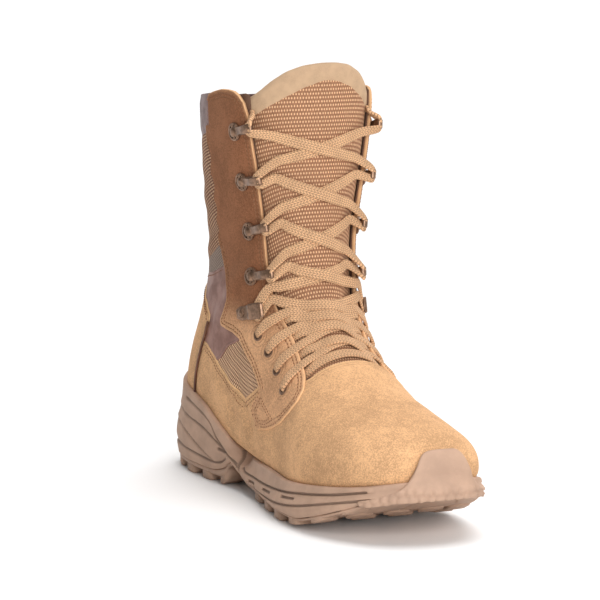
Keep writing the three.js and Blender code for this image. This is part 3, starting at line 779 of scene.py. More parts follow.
def braid_group():
    """A flat braid: columns of slanting plaits along a lace."""

    def build(tree, given):
        cloth = parts(tree, given["Cloth"])
        col = calc(tree, "DIVIDE", cloth[0], given["Column"])
        parity = calc(tree, "PINGPONG", calc(tree, "FLOOR", col), 1.0)
        lean = calc(tree, "MULTIPLY_ADD", parity, 2.0, -1.0)
        inside = calc(tree, "SUBTRACT", calc(tree, "FRACT", col), 0.5)
        slant = calc(tree, "MULTIPLY", calc(tree, "MULTIPLY", inside, lean), 0.8)
        step = calc(tree, "ADD", calc(tree, "DIVIDE", cloth[1], given["Plait"]), slant)
        wave = calc(tree, "ABSOLUTE", calc(tree, "SUBTRACT", calc(tree, "FRACT", step), 0.5))
        side = calc(tree, "ABSOLUTE", inside)
        thread = calc(tree, "MULTIPLY", ramp(tree, wave, 0.5, 0.3), ramp(tree, side, 0.5, 0.36))
        return [thread, thread]

    inputs = {"Cloth": (0.0, 0.0, 0.0), "Column": 1.6, "Plait": 2.0}
    return shader_group("Braid", inputs, ("Thread", "Height"), build)


def edge_group():
    """A cut and stitched edge: the pale raw edge, the worn band beside it and the dip of each seam row."""

    def build(tree, given):
        far = given["Distance"]
        raw = ramp(tree, far, 0.5, 0.12)
        edge_wear_and_top_shade = calc(tree, "MULTIPLY", ramp(tree, far, 2.6, 0.3), noise(tree, given["Place"], 2.2, 3.0))
        dips = []
        for row in ("Row 1", "Row 2"):
            gap = calc(tree, "ABSOLUTE", calc(tree, "SUBTRACT", far, given[row]))
            dips.append(ramp(tree, gap, 0.8, 0.0))
        return [raw, edge_wear_and_top_shade, calc(tree, "MAXIMUM", *dips)]

    inputs = {"Place": (0.0, 0.0, 0.0), "Distance": 0.0, "Row 1": 2.0, "Row 2": 4.2}
    return shader_group("Cut edge", inputs, ("Raw", "Rub", "Dip"), build)


def low_shade_group():
    """Painted shade low on the boot, in blotches, strongest at the bottom and gone at the top height."""

    def build(tree, given):
        height = parts(tree, given["Place"])[2]
        low = ramp(tree, height, given["Top"], 0.0)
        patch = ramp(tree, noise(tree, given["Place"], 7.0, 4.0, 0.65), 0.42, 0.72)
        return [calc(tree, "MULTIPLY", low, patch)]

    return shader_group("Low shade", {"Place": (0.0, 0.0, 0.0), "Top": 45.0}, ("Dust",), build)


def use(tree, group, **sockets):
    """A group placed in a material, with its own values or fed from other sockets."""
    named = {key.replace("_", " "): value for key, value in sockets.items()}
    return add(tree, "ShaderNodeGroup", named, node_tree=group)


class Finish:
    """A material under construction: its shader, and the places its patterns read."""

    def __init__(self, name, rough=0.8, metal=0.0, sheen=0.0, sheen_tint=None, level=0.5):
        self.material = bpy.data.materials.new(name)
        self.material.use_nodes = True
        self.tree = self.material.node_tree
        self.shader = self.tree.nodes["Principled BSDF"]
        self.shader.inputs["Roughness"].default_value = rough
        self.shader.inputs["Metallic"].default_value = metal
        self.shader.inputs["Specular IOR Level"].default_value = level
        if sheen:
            self.shader.inputs["Sheen Weight"].default_value = sheen
            self.shader.inputs["Sheen Roughness"].default_value = 0.45
            self.shader.inputs["Sheen Tint"].default_value = opaque(sheen_tint)
        coords = add(self.tree, "ShaderNodeTexCoord").outputs["Object"]
        scaled = {0: coords, "Scale": 1 / MM}
        self.place = add(self.tree, "ShaderNodeVectorMath", scaled, operation="SCALE").outputs[0]

    def cloth(self):
        return add(self.tree, "ShaderNodeUVMap", uv_map="cloth").outputs[0]

    def distance(self):
        return add(self.tree, "ShaderNodeAttribute", attribute_name="edge").outputs["Fac"]

    def link(self, socket, value):
        self.tree.links.new(value, self.shader.inputs[socket])

    def bumps(self, *layers):
        """Height layers, each (height, strength, depth in mm), one over the other."""
        normal = None
        for height, strength, depth in layers:
            sockets = {"Height": height, "Strength": strength, "Distance": depth * MM}
            if normal:
                sockets["Normal"] = normal
            normal = add(self.tree, "ShaderNodeBump", sockets).outputs[0]
        self.link("Normal", normal)


def suede(name, dark, light, edge, patch=26.0, fibre=2.5, rows=(2.0, 4.2), high=None):
    """Brushed suede with pale cut edges and painted shade: in its seam dips, low down, and towards the top
    where high is given.
    """
    made = Finish(name, rough=0.92, sheen=0.25, sheen_tint=light, level=0.25)
    tree = made.tree
    nap = use(tree, nap_group(), Place=made.place, Patch=patch, Fibre=fibre)
    colour = mix(tree, nap.outputs["Tone"], opaque(dark), opaque(light))
    if high:
        # Painted shade: the suede darkens towards the top, by the high colour.
        edge_wear_and_top_shade = ramp(tree, parts(tree, made.place)[2], 98.0, 124.0)
        colour = mix(tree, edge_wear_and_top_shade, colour, opaque(high), "MULTIPLY")
    cut = use(tree, edge_group(), Place=made.place, Distance=made.distance(), Row_1=rows[0], Row_2=rows[1])
    # Painted shade in the dips of the seam rows.
    colour = tinted(tree, colour, cut.outputs["Dip"], 0.3, dark)
    colour = tinted(tree, colour, cut.outputs["Rub"], 0.35, edge)
    colour = tinted(tree, colour, cut.outputs["Raw"], 0.75, edge)
    # Painted shade low on the suede, towards the sole.
    low_shade = use(tree, low_shade_group(), Place=made.place, Top=40.0)
    colour = tinted(tree, colour, low_shade.outputs["Dust"], 0.25, linear(150, 112, 88))
    made.link("Base Color", colour)
    made.link("Roughness", ramp(tree, nap.outputs["Tone"], 0.0, 1.0, 0.97, 0.84))
    dip = calc(tree, "MULTIPLY", cut.outputs["Dip"], -1.0)
    made.bumps((nap.outputs["Height"], 0.55, 0.28), (dip, 0.8, 0.45))
    return made.material


def smooth_leather(name, dark, light, cell=0.9, rough=0.55):
    made = Finish(name, rough=rough, level=0.4)
    tree = made.tree
    grain = use(tree, grain_group(), Place=made.place, Cell=cell)
    colour = mix(tree, grain.outputs["Tone"], opaque(dark), opaque(light))
    cut = use(tree, edge_group(), Place=made.place, Distance=made.distance(), Row_1=1.8, Row_2=1.8)
    # Painted shade in the dips of the seam rows.
    colour = tinted(tree, colour, cut.outputs["Dip"], 0.35, dark)
    made.link("Base Color", colour)
    made.link("Roughness", ramp(tree, grain.outputs["Tone"], 0.0, 1.0, rough + 0.1, rough - 0.08))
    dip = calc(tree, "MULTIPLY", cut.outputs["Dip"], -1.0)
    made.bumps((grain.outputs["Height"], 0.35, 0.12), (dip, 0.7, 0.35))
    return made.material


def woven(name, ground, thread, across=1.8, along=2.4, wide=0.3, tall=0.3, shift=0.5, depth=0.35):
    """Cloth with thick threads that float over a darker ground."""
    made = Finish(name, rough=0.85, sheen=0.2, sheen_tint=thread, level=0.3)
    tree = made.tree
    sockets = {"Across": across, "Along": along, "Wide": wide, "Tall": tall, "Shift": shift}
    weave = use(tree, weave_group(), Cloth=made.cloth(), **sockets)
    tone = noise(tree, made.place, 0.9, 2.0)
    worn = noise(tree, made.place, 18.0, 3.0)
    low = mix(tree, ramp(tree, tone, 0.25, 0.75), opaque(ground), opaque(shade(ground, 1.5)))
    high = mix(tree, ramp(tree, worn, 0.3, 0.7), opaque(shade(thread, 0.86)), opaque(thread))
    made.link("Base Color", mix(tree, weave.outputs["Thread"], low, high))
    made.bumps((weave.outputs["Height"], 0.9, depth), (tone, 0.3, 0.1))
    return made.material


def braided(name, ground, thread):
    """The lace's flat braid, with painted shade on the ground between its plaits."""
    made = Finish(name, rough=0.8, sheen=0.2, sheen_tint=thread, level=0.3)
    tree = made.tree
    braid = use(tree, braid_group(), Cloth=made.cloth())
    worn = noise(tree, made.place, 9.0, 3.0)
    high = mix(tree, ramp(tree, worn, 0.3, 0.7), opaque(shade(thread, 0.85)), opaque(thread))
    # The dark ground is painted shade between the plaits.
    made.link("Base Color", mix(tree, braid.outputs["Thread"], opaque(ground), high))
    made.bumps((braid.outputs["Height"], 0.8, 0.3))
    return made.material


def knitted(name, dark, light):
    made = Finish(name, rough=0.9, sheen=0.3, sheen_tint=light, level=0.2)
    tree = made.tree
    fine = noise(tree, made.place, 0.5, 3.0, 0.7)
    broad = noise(tree, made.place, 6.0, 3.0)
    colour = mix(tree, ramp(tree, broad, 0.3, 0.7), opaque(dark), opaque(light))
    made.link("Base Color", mix(tree, ramp(tree, fine, 0.35, 0.75), colour, opaque(light)))
    made.bumps((fine, 0.5, 0.2))
    return made.material


def moulded(name, dark, light, rough=0.72):
    """Rubber or foam from a mould, with painted shade in its grooves and low down."""
    made = Finish(name, rough=rough, level=0.35)
    tree = made.tree
    pores = noise(tree, made.place, 0.35, 3.0, 0.7)
    cloud = noise(tree, made.place, 16.0, 4.0, 0.6)
    scuff = ramp(tree, noise(tree, made.place, 3.2, 5.0, 0.75), 0.56, 0.74)
    colour = mix(tree, ramp(tree, cloud, 0.3, 0.7), opaque(dark), opaque(light))
    colour = tinted(tree, colour, scuff, 0.25, shade(light, 1.25))
    # Painted shade in the moulded grooves, darker where they are deeper.
    groove = ramp(tree, made.distance(), 0.0, 1.0)
    colour = tinted(tree, colour, groove, 0.62, shade(dark, 0.3))
    # Painted shade low on the sole, towards the floor.
    low_shade = use(tree, low_shade_group(), Place=made.place, Top=14.0)
    colour = tinted(tree, colour, low_shade.outputs["Dust"], 0.35, linear(120, 96, 80))
    made.link("Base Color", colour)
    made.link("Roughness", ramp(tree, scuff, 0.0, 1.0, rough, rough + 0.16))
    made.bumps((pores, 0.25, 0.08), (cloud, 0.3, 0.3))
    return made.material


def metal(name, dark, light):
    made = Finish(name, rough=0.36, metal=0.85)
    tree = made.tree
    cloud = noise(tree, made.place, 2.6, 4.0, 0.6)
    fine = noise(tree, made.place, 0.3, 3.0, 0.7)
    made.link("Base Color", mix(tree, ramp(tree, cloud, 0.35, 0.65), opaque(dark), opaque(light)))
    made.link("Roughness", ramp(tree, fine, 0.3, 0.7, 0.28, 0.46))
    made.bumps((fine, 0.15, 0.05))
    return made.material


def thread(name, dark, light):
    made = Finish(name, rough=0.75, sheen=0.2, sheen_tint=light, level=0.3)
    tree = made.tree
    twist = noise(tree, made.place, 0.35, 2.0)
    made.link("Base Color", mix(tree, ramp(tree, twist, 0.35, 0.65), opaque(dark), opaque(light)))
    made.bumps((twist, 0.5, 0.1))
    return made.material


class BootSizes(bpy.types.PropertyGroup):
    """Sizes a maker would change."""

    lace_width: FloatProperty(
        name="Lace width", description="Width of the flat lace, in metres", default=7 * MM,
        min=4 * MM, max=10 * MM, unit="LENGTH", subtype="DISTANCE")
    lace_thickness: FloatProperty(
        name="Lace thickness", description="Thickness of the flat lace, in metres", default=1.9 * MM,
        min=0.8 * MM, max=2.5 * MM, unit="LENGTH", subtype="DISTANCE")
    stitch_pitch: FloatProperty(
        name="Stitch pitch", description="From one stitch to the next, in metres", default=2.6 * MM,
        min=1.5 * MM, max=5 * MM, unit="LENGTH", subtype="DISTANCE")
    thread_width: FloatProperty(
        name="Thread width", description="Width of the sewing thread, in metres", default=0.62 * MM,
        min=0.3 * MM, max=1 * MM, unit="LENGTH", subtype="DISTANCE")
    binding_height: FloatProperty(
        name="Tongue binding", description="Height of the tongue's binding, in metres", default=12 * MM,
        min=6 * MM, max=20 * MM, unit="LENGTH", subtype="DISTANCE")
    floor_size: FloatProperty(
        name="Floor size", description="Side of the studio floor, in metres", default=12.0,
        min=2.0, max=30.0, unit="LENGTH", subtype="DISTANCE")


def colour_property(name, description, colour):
    return FloatVectorProperty(name=name, description=description, default=colour, min=0, max=1,
                               size=3, subtype="COLOR")


class BootColours(bpy.types.PropertyGroup):
    """Colours a maker would change."""

    vamp: colour_property("Vamp suede", "Suede of the vamp and quarters", linear(212, 166, 122))
    facing: colour_property("Facing suede", "Suede of the facings", linear(206, 158, 118))
    leather: colour_property("Ankle leather", "Smooth leather at the ankle", linear(140, 98, 84))
    collar: colour_property("Collar leather", "Smooth leather of the collar", linear(112, 84, 80))
    cloth: colour_property("Shaft cloth", "Woven cloth of the shaft", linear(205, 165, 130))
    tongue: colour_property("Tongue thread", "Thick thread of the tongue's cloth", linear(222, 178, 138))
    ground: colour_property("Tongue ground", "Ground of the tongue's cloth", linear(128, 90, 66))
    binding: colour_property("Binding", "Binding of the tongue's top", linear(184, 154, 124))
    lace: colour_property("Lace", "Flat lace", linear(212, 168, 128))
    lining: colour_property("Lining", "Lining inside the boot", linear(104, 76, 60))
    sole: colour_property("Sole", "Rubber and foam of the sole", linear(178, 146, 124))
    metal: colour_property("Hardware", "Eyelets, locks and loops", linear(160, 126, 102))


class BOOT_OT_finishes(bpy.types.Operator):
    """Make the boot's leathers, cloths, rubber and metal"""

    bl_idname = "boot.finishes"
    bl_label = "Finishes"

    def execute(self, context):
        c = context.scene.boot_colours
        vamp, facing, sole = tuple(c.vamp), tuple(c.facing), tuple(c.sole)
        suede("vamp_suede", shade(vamp, 0.64), shade(vamp, 1.07), linear(232, 190, 140))
        # The facings' high colour paints shade over their upper part.
        suede("facing_suede", shade(facing, 0.66), shade(facing, 1.12), linear(226, 180, 134),
              rows=(2.3, 4.6), high=(0.4, 0.285, 0.24))
        suede("edge_suede", shade(facing, 0.7), shade(facing, 1.2), linear(226, 180, 134))
        smooth_leather("piping_leather", linear(70, 42, 30), linear(112, 72, 50))
        smooth_leather("ankle_leather", shade(c.leather, 0.7), shade(c.leather, 1.1))
        smooth_leather("collar_leather", shade(c.collar, 0.7), shade(c.collar, 1.15), rough=0.5)
        woven("ribbed_cloth", linear(90, 56, 42), shade(c.cloth, 0.84), 3.4, 1.9, 0.47, 0.3, 0.33, 0.4)
        woven("window_cloth", linear(110, 76, 56), linear(234, 194, 156), 2.6, 1.7, 0.44, 0.34, 0.33, 0.4)
        woven("grey_cloth", linear(96, 80, 70), linear(170, 150, 136), 1.7, 1.7, 0.36, 0.36, 0.5, 0.3)
        woven("tongue_cloth", tuple(c.ground), tuple(c.tongue))
        knitted("binding_cloth", shade(c.binding, 0.82), tuple(c.binding))
        knitted("lining_cloth", shade(c.lining, 0.6), tuple(c.lining))
        braided("lace_braid", shade(c.lace, 0.3), shade(c.lace, 1.08))
        moulded("midsole_foam", shade(sole, 0.86), shade(sole, 1.06))
        moulded("outsole_rubber", shade(sole, 0.84), shade(sole, 1.02), rough=0.66)
        metal("hardware_metal", shade(c.metal, 0.42), shade(c.metal, 0.84))
        thread("brown_thread", linear(104, 66, 42), linear(150, 100, 66))
        thread("tan_thread", linear(190, 146, 100), linear(228, 188, 140))
        return {"FINISHED"}


# ---- placing things on the upper ----


def mirrored(outline, side):
    return [(at, side * girth) for at, girth in outline]


def from_heel(outline, side):
    """An outline by girth, measured instead from the heel line."""
    return [(at, side * max(0.0, half_girth(at, side) - girth)) for at, girth in outline]


def lower_edge(side, first, last, drop, count=60):
    """Where the upper runs down behind the sole's rim, from one station to another."""
    at = np.linspace(first, last, count)
    edge = girth_at_height(at, side, lambda x: height_at("wall", np.clip(x, *SOLE_REACH)) - drop)
    return list(zip(at, side * edge))


def steps_on(surface, at, girth, move_at=0.02, move_girth=0.5):
    """How a place moves in space for a step in station and for a step in girth."""
    by_at = (surface(at + move_at, girth) - surface(at - move_at, girth)) / (2 * move_at)
    by_girth = (surface(at, girth + move_girth) - surface(at, girth - move_girth)) / (2 * move_girth)
    return by_at, by_girth


def shifted(surface, places, moves):
    """Places moved over the surface by moves given in space."""
    by_at, by_girth = steps_on(surface, places[:, 0], places[:, 1])
    aa, ag, gg = (by_at * by_at).sum(1), (by_at * by_girth).sum(1), (by_girth * by_girth).sum(1)
    ma, mg = (moves * by_at).sum(1), (moves * by_girth).sum(1)
    size = aa * gg - ag * ag
    return places + np.stack([ma * gg - mg * ag, mg * aa - ma * ag], 1) / size[:, None]


def circle_on(surface, at, girth, radius, count=28):
    """A circle about a place on a surface."""
    turn = np.linspace(0, 2 * math.pi, count, endpoint=False)
    by_at, by_girth = steps_on(surface, np.array([at]), np.array([girth]))
    up = by_at[0] / np.linalg.norm(by_at[0])
    across = by_girth[0] - up * (by_girth[0] @ up)
    across /= np.linalg.norm(across)
    moves = radius * (np.cos(turn)[:, None] * up + np.sin(turn)[:, None] * across)
    return shifted(surface, np.tile((float(at), float(girth)), (count, 1)), moves)


def inset_line(loop, surface, distance):
    """A closed outline's seam line, a distance inside it: runs of places."""
    loop = settle(loop, surface, 0.6, 1.5)
    place = surface(loop[:, 0], loop[:, 1])
    ahead = np.roll(place, -1, 0) - np.roll(place, 1, 0)
    ahead /= np.linalg.norm(ahead, axis=1)[:, None]
    out = surface(loop[:, 0], loop[:, 1], 1.0) - place
    inward = np.cross(out, ahead)
    moved = shifted(surface, loop, inward * distance)
    if within([loop], moved[:, 0], moved[:, 1]).mean() < 0.5:
        moved = shifted(surface, loop, -inward * distance)
    tree = tree_of(place)
    gaps = np.array([tree.find(p)[2] for p in surface(moved[:, 0], moved[:, 1])])
    keep = (gaps > 0.93 * distance) & within([loop], moved[:, 0], moved[:, 1])
    return runs_of(moved, keep)


def stretches(places, keep):
    """The unbroken stretches of kept places along an open line."""
    found, piece = [], []
    for place, kept in zip(places, keep):
        if kept:
            piece.append(place)
        elif piece:
            found.append(np.array(piece))
            piece = []
    return found + ([np.array(piece)] if piece else [])


def runs_of(places, keep):
    """The unbroken stretches of a closed line whose places are kept."""
    if keep.all():
        return [np.vstack([places, places[:1]])]
    start = int(np.argmin(keep))
    found = stretches(np.roll(places, -start, 0), np.roll(keep, -start))
    return [run for run in found if len(run) > 6]


def clipped(runs, test):
    """Runs cut down to the places that pass a test of (at, girth)."""
    kept = [piece for run in runs for piece in stretches(run, [test(a, b) for a, b in run])]
    return [run for run in kept if len(run) > 4]


STITCH_LENGTH = 0.76  # part of a stitch's pitch that shows


def stitch_rows(name, runs, surface, lift, pitch, width, material):
    """Rows of sewn stitches along runs of places, as one mesh."""
    verts, faces = [], []
    profile = (
        (-0.5, 0.25, -0.6), (-0.36, 0.8, -0.05), (0.0, 1.0, 0.3), (0.36, 0.8, -0.05), (0.5, 0.25, -0.6),
    )
    turn = np.linspace(0, 2 * math.pi, 6, endpoint=False)
    for run in runs:
        run = np.asarray(run, float)
        place = surface(run[:, 0], run[:, 1], lift)
        gone = length_along(place)
        count = int(gone[-1] / pitch)
        if count < 1:
            continue
        middles = (np.arange(count) + 0.5) * gone[-1] / count
        at, girth = np.interp(middles, gone, run[:, 0]), np.interp(middles, gone, run[:, 1])
        spots = surface(at, girth, lift)
        outs = surface(at, girth, lift + 1) - spots
        reach = pitch * STITCH_LENGTH
        ends = [
            np.stack([np.interp(middles + end * reach / 2, gone, place[:, k]) for k in range(3)], 1)
            for end in (-1, 1)
        ]
        for spot, out, start, end in zip(spots, outs, *ends):
            ahead = end - start
            length = np.linalg.norm(ahead)
            if length < 0.2:
                continue
            ahead /= length
            out = out - ahead * (out @ ahead)
            out /= np.linalg.norm(out)
            across = np.cross(ahead, out)
            first = len(verts)
            for share, fat, rise in profile:
                middle = spot + ahead * share * length + out * rise * width / 2
                for angle in turn:
                    ring = across * math.cos(angle) * 0.5 + out * math.sin(angle) * 0.42
                    verts.append(middle + ring * width * fat)
            for r in range(len(profile) - 1):
                for c in range(6):
                    d = (c + 1) % 6
                    low, high = first + r * 6, first + (r + 1) * 6
                    faces.append([low + c, high + c, high + d, low + d])
            faces.append([first + c for c in range(6)])
            faces.append([first + 24 + c for c in range(6)][::-1])
    return finish_piece(turn_outward(new_mesh(name, verts, faces)), material)


def loop_rise(kind, at):
    """How far the lace loops' straps are turned up: the higher ones more, so that all lie level."""
    return math.radians(13) * float(smooth(13.3, 15.4, at)) if kind == "loop" else 0.0


def frame_at(at, girth, lift, towards, rise=0.0):
    """A place's frame: X to the throat, turned up by a rise, Y along it, Z out of the leather."""
    at, girth = float(at), float(girth)
    spot = skin(at, girth, lift)
    out = skin(at, girth, lift + 1) - spot
    up = skin(at + 0.05, girth) - skin(at - 0.05, girth)
    across = np.cross(up, out)
    across /= np.linalg.norm(across)
    level = np.cross(out, across)
    along = across * towards * math.cos(rise) + up / np.linalg.norm(up) * math.sin(rise)
    along -= out * (along @ out)
    along /= np.linalg.norm(along)
    made = np.eye(4)
    made[:3, 0], made[:3, 1], made[:3, 2], made[:3, 3] = along, np.cross(out, along), out, spot
    return made


# ---- outlines of the upper's pieces, as (station, girth) on one side ----

FACING = (
    (20.12, 50), (19.8, 47), (19.45, 45.3), (19.05, 44.3), (18.25, 42), (16.5, 39), (14.9, 37),
    (13.85, 35.5), (12.45, 34), (11.3, 31.5), (10.35, 27.8), (9.5, 26.3), (8.8, 27.4), (7.95, 29.5),
    (7.6, 31.5),
    (7.15, 36.5), (6.95, 44), (7.05, 51.5), (7.35, 62), (7.75, 69.5), (8.15, 76.5), (8.55, 82), (8.8, 83.3),
    (9.2, 82.5), (9.3, 77.5), (9.2, 68), (9.25, 64), (9.7, 63), (10.2, 63), (10.6, 65), (11.5, 69),
    (12.05, 76), (12.55, 85.5), (12.85, 91), (13.1, 91.5), (13.3, 85.5), (13.6, 81), (14.05, 80.5),
    (14.9, 85.5), (15.6, 90.5), (16.2, 94.5), (16.95, 100.5), (17.6, 105.5), (17.95, 106.5), (18.5, 104.5),
    (19.15, 103), (19.75, 103), (20.2, 102), (20.38, 96), (20.42, 87.5), (20.45, 74.5), (20.42, 65),
    (20.38, 59), (20.28, 54),
)
TAB_BOX = ((7.72, 64.5), (9.05, 64.5), (9.15, 80.5), (8.65, 81.2), (8.2, 75))
QUARTER_TOP = (
    (7.42, 0.01), (7.42, 30), (7.75, 44), (8.4, 56), (9.1, 60), (9.35, 63), (9.6, 75), (9.8, 84.5),
    (10.35, 89), (11.05, 96.5), (11.85, 105.5), (12.15, 107.5), (12.9, 117.2), (13.3, 124), (13.2, 134),
    (12.8, 146), (12.45, 157),
)
WINDOW = (
    (12.2, 111), (11.9, 87), (11.6, 64), (10.8, 58), (10.2, 56), (9.2, 56), (9.5, 80), (9.7, 88),
    (10.2, 93), (10.95, 101), (11.75, 109.5),
)
ANKLE = (
    (15.5, 83), (15.5, 90), (15.68, 101), (15.88, 113.5), (16.2, 128), (16.5, 145), (16.75, 165),
    (16.85, 181), (16.2, 181), (15.9, 163), (15.3, 142), (14.6, 130), (13.6, 128), (12.7, 121),
    (12.05, 110), (11.85, 100),
    (11.85, 86.5), (11.5, 71), (11.5, 62), (13.0, 66),
)
GREY = ((15.3, 80), (15.4, 100), (15.6, 113), (15.95, 128), (16.3, 145), (16.6, 165), (16.7, 179))
PIPING = (
    (13.75, 114.5), (13.55, 116.6), (13.35, 120), (13.05, 129), (12.6, 143), (12.25, 152.5), (12.1, 157),
)
COUNTER_TOP = (
    (16.5, 172), (16.4, 160), (16.2, 146), (15.8, 137), (15.3, 129), (14.75, 121.5), (14.3, 116.5),
    (14.0, 114.6), (13.75, 114.5),
)


# ---- the pieces ----


class BOOT_OT_lining(bpy.types.Operator):
    """Line the upper, from the collar to the toe"""

    bl_idname = "boot.lining"
    bl_label = "Lining"

    def execute(self, context):
        outline = []
        for side in (-1, 1):
            throat = [(at, side * float(throat_at(at))) for at in np.linspace(20.32, 7.62, 40)]
            half = [*throat, (7.44, side * 24), (7.4, side * 0.5)]
            outline += half if side < 0 else half[::-1]
        heel = [(at, float(half_girth(at, 1)) - 0.3) for at in np.linspace(20.32, 13.3, 24)]
        bed = np.linspace(13.2, 0.4, 60)
        foot = {}
        for side in (-1, 1):
            floor = girth_at_height(bed, side, lambda x: height_at("bed", np.clip(x, *SOLE_REACH)) + 3)
            foot[side] = list(zip(bed, side * floor))
        back = [(at, 0.3 - float(half_girth(at, -1))) for at in np.linspace(13.3, 20.32, 24)]
        outline += [*heel, *foot[1], *foot[-1][::-1], *back]
        under, over = LAYERS["lining"]
        holes = eyelet_holes(HOLE_RADIUS)
        piece = panel("upper_lining", skin, outline, under, over, step=2.6, holes=holes)
        finish_piece(piece, "lining_cloth")
        return {"FINISHED"}


HOLE_RADIUS = 2.3


def eyelet_holes(radius, sides=(-1, 1)):
    """The holes that the eyelets sit in."""
    rows = [(at, float(throat_at(at)) + back) for kind, at, back in LACING if kind == "eyelet"]
    return [circle_on(skin, at, side * girth, radius) for side in sides for at, girth in rows]


def cloth_by_length(at, girth):
    """UVs in mm for cloth that runs straight down the shaft's sides."""
    return np.stack([girth, np.interp(at, STATIONS, SIDE_LENGTH)], 1)


class BOOT_OT_cloth(bpy.types.Operator):
    """Make the woven cloth of the shaft and of the windows at the instep"""

    bl_idname = "boot.cloth"
    bl_label = "Cloth"

    def execute(self, context):
        under, over = LAYERS["cloth"]

        def padding(at, girth, distance):
            return over + 2.0 * smooth(0, 16, distance) + 0.35 * np.sin(at * 9.0) * smooth(2, 14, distance)

        for name, side in SIDES.items():
            back = float(half_girth(18, side)) - 1
            shaft = [(19.85, 88), (19.85, back), (16.9, back), (16.6, 140), (16.3, 108), (16.3, 84)]
            piece = panel(f"shaft_cloth_{name}", skin, mirrored(shaft, side), under, padding, step=2.2,
                          cloth=cloth_by_length)
            finish_piece(piece, "ribbed_cloth")
            low = [*GREY, (17.25, 172), (17.15, 140), (17.05, 120), (17.0, 100), (16.95, 84)]
            piece = panel(f"shaft_base_{name}", skin, mirrored(low, side), under + 0.1, over + 0.2,
                          step=2.0, cloth=cloth_by_length)
            finish_piece(piece, "grey_cloth")
            piece = panel(f"window_cloth_{name}", skin, mirrored(WINDOW, side), under - 0.2, over - 0.1,
                          step=1.6, cloth=cloth_by_length)
            finish_piece(piece, "window_cloth")
        return {"FINISHED"}


class BOOT_OT_quarters(bpy.types.Operator):
    """Make the vamp and quarters in one piece of suede"""

    bl_idname = "boot.quarters"
    bl_label = "Vamp and quarters"

    def execute(self, context):
        outer = [*mirrored(QUARTER_TOP, -1), *lower_edge(-1, 12.2, 0.35, 7)]
        inner = [*mirrored(QUARTER_TOP, 1), *lower_edge(1, 12.2, 0.35, 7)]
        under, over = LAYERS["quarter"]
        piece = panel("vamp_quarters", skin, outer + inner[::-1], under, over, step=1.9)
        finish_piece(piece, "vamp_suede", ["upper"])
        return {"FINISHED"}


class BOOT_OT_ankle(bpy.types.Operator):
    """Make the smooth leather at the ankle and round the collar"""

    bl_idname = "boot.ankle"
    bl_label = "Ankle and collar"

    def execute(self, context):
        under, over = LAYERS["ankle"]
        for name, side in SIDES.items():
            piece = panel(f"ankle_leather_{name}", skin, mirrored(ANKLE, side), under, over, step=1.6)
            finish_piece(piece, "ankle_leather")
        under, over = LAYERS["collar"]
        band = [(-(half_girth(20.4, -1) - 92), 20.4), (-(half_girth(19.6, -1) - 92), 19.62)]
        outline = [(at, float(across)) for across, at in band]
        outline += [(at, float(half_girth(at, 1) - 92)) for at in (19.62, 20.4)]

        def swell(at, across, distance):
            return over + 0.9 * smooth(0, 6, distance)

        piece = panel("collar_band", skin_back, outline, under, swell, step=2.0)
        finish_piece(piece, "collar_leather")
        return {"FINISHED"}


class BOOT_OT_counter(bpy.types.Operator):
    """Make the heel counter, its piping and the strip up the back"""

    bl_idname = "boot.counter"
    bl_label = "Counter"

    def execute(self, context):
        under, over = LAYERS["counter"]
        outline = []
        for side in (-1, 1):
            sole = [(at, abs(girth)) for at, girth in lower_edge(side, 12.08, 13.9, 7, 24)]
            rows = from_heel([*COUNTER_TOP, *PIPING[1:-1], *sole], side)
            rows = [(16.5, side * 0.2), *rows, (13.95, side * 0.2)]
            outline += rows if side < 0 else rows[::-1]
        piece = panel("heel_counter", skin_back, outline, under, over, step=1.7)
        finish_piece(piece, "vamp_suede")
        cords = []
        for name, side in SIDES.items():
            line = through(mirrored(PIPING, side), 10)
            path = skin(line[:, 0], line[:, 1], 0.35)
            out = skin(line[:, 0], line[:, 1], 1.35) - path
            cords.append(ribbon(f"piping_{name}", path, out, 1.6, 1.5, 10, 0.9))
        finish_piece(join("heel_piping", cords), "piping_leather")
        under, over = LAYERS["backstay"]
        strip = [(13.9, -8.5), (20.36, -6), (20.36, 6), (13.9, 8.5)]
        piece = panel("back_strip", skin_back, strip, under, over + 0.2, step=1.7)
        finish_piece(piece, "facing_suede")
        return {"FINISHED"}


class BOOT_OT_facings(bpy.types.Operator):
    """Make the facings that carry the lacing"""

    bl_idname = "boot.facings"
    bl_label = "Facings"

    def execute(self, context):
        under, over = LAYERS["facing"]
        for name, side in SIDES.items():
            holes = eyelet_holes(HOLE_RADIUS, (side,))
            edge = mirrored(FACING, side)
            piece = panel(f"facing_{name}", skin, edge, under, over, step=1.5, holes=holes)
            finish_piece(piece, "facing_suede")
        return {"FINISHED"}


TONGUE_THICK = 5.5
TONGUE_EDGE = ((0.0, 2.4), (0.7, 1.25), (1.9, 0.4), (3.6, 0.0))


def tongue_top(girths):
    """The stations at which the tongue's round top is cut."""
    side = (-60, -44, -37, -30, -21, -10, 2, 12, 22, 31, 37, 42, 60)
    height = (228, 236, 244, 251.5, 258, 262.4, 264.4, 264.2, 262, 256.5, 248.5, 238, 230)
    rows = np.linspace(19, 21.4, 241)
    found = []
    for girth in girths:
        place = tongue_skin(rows, np.full(len(rows), girth))
        over = place[:, 2] > np.interp(place[:, 1], side, height)
        found.append(rows[np.argmax(over)] if over.any() else rows[-1])
    return np.array(found)


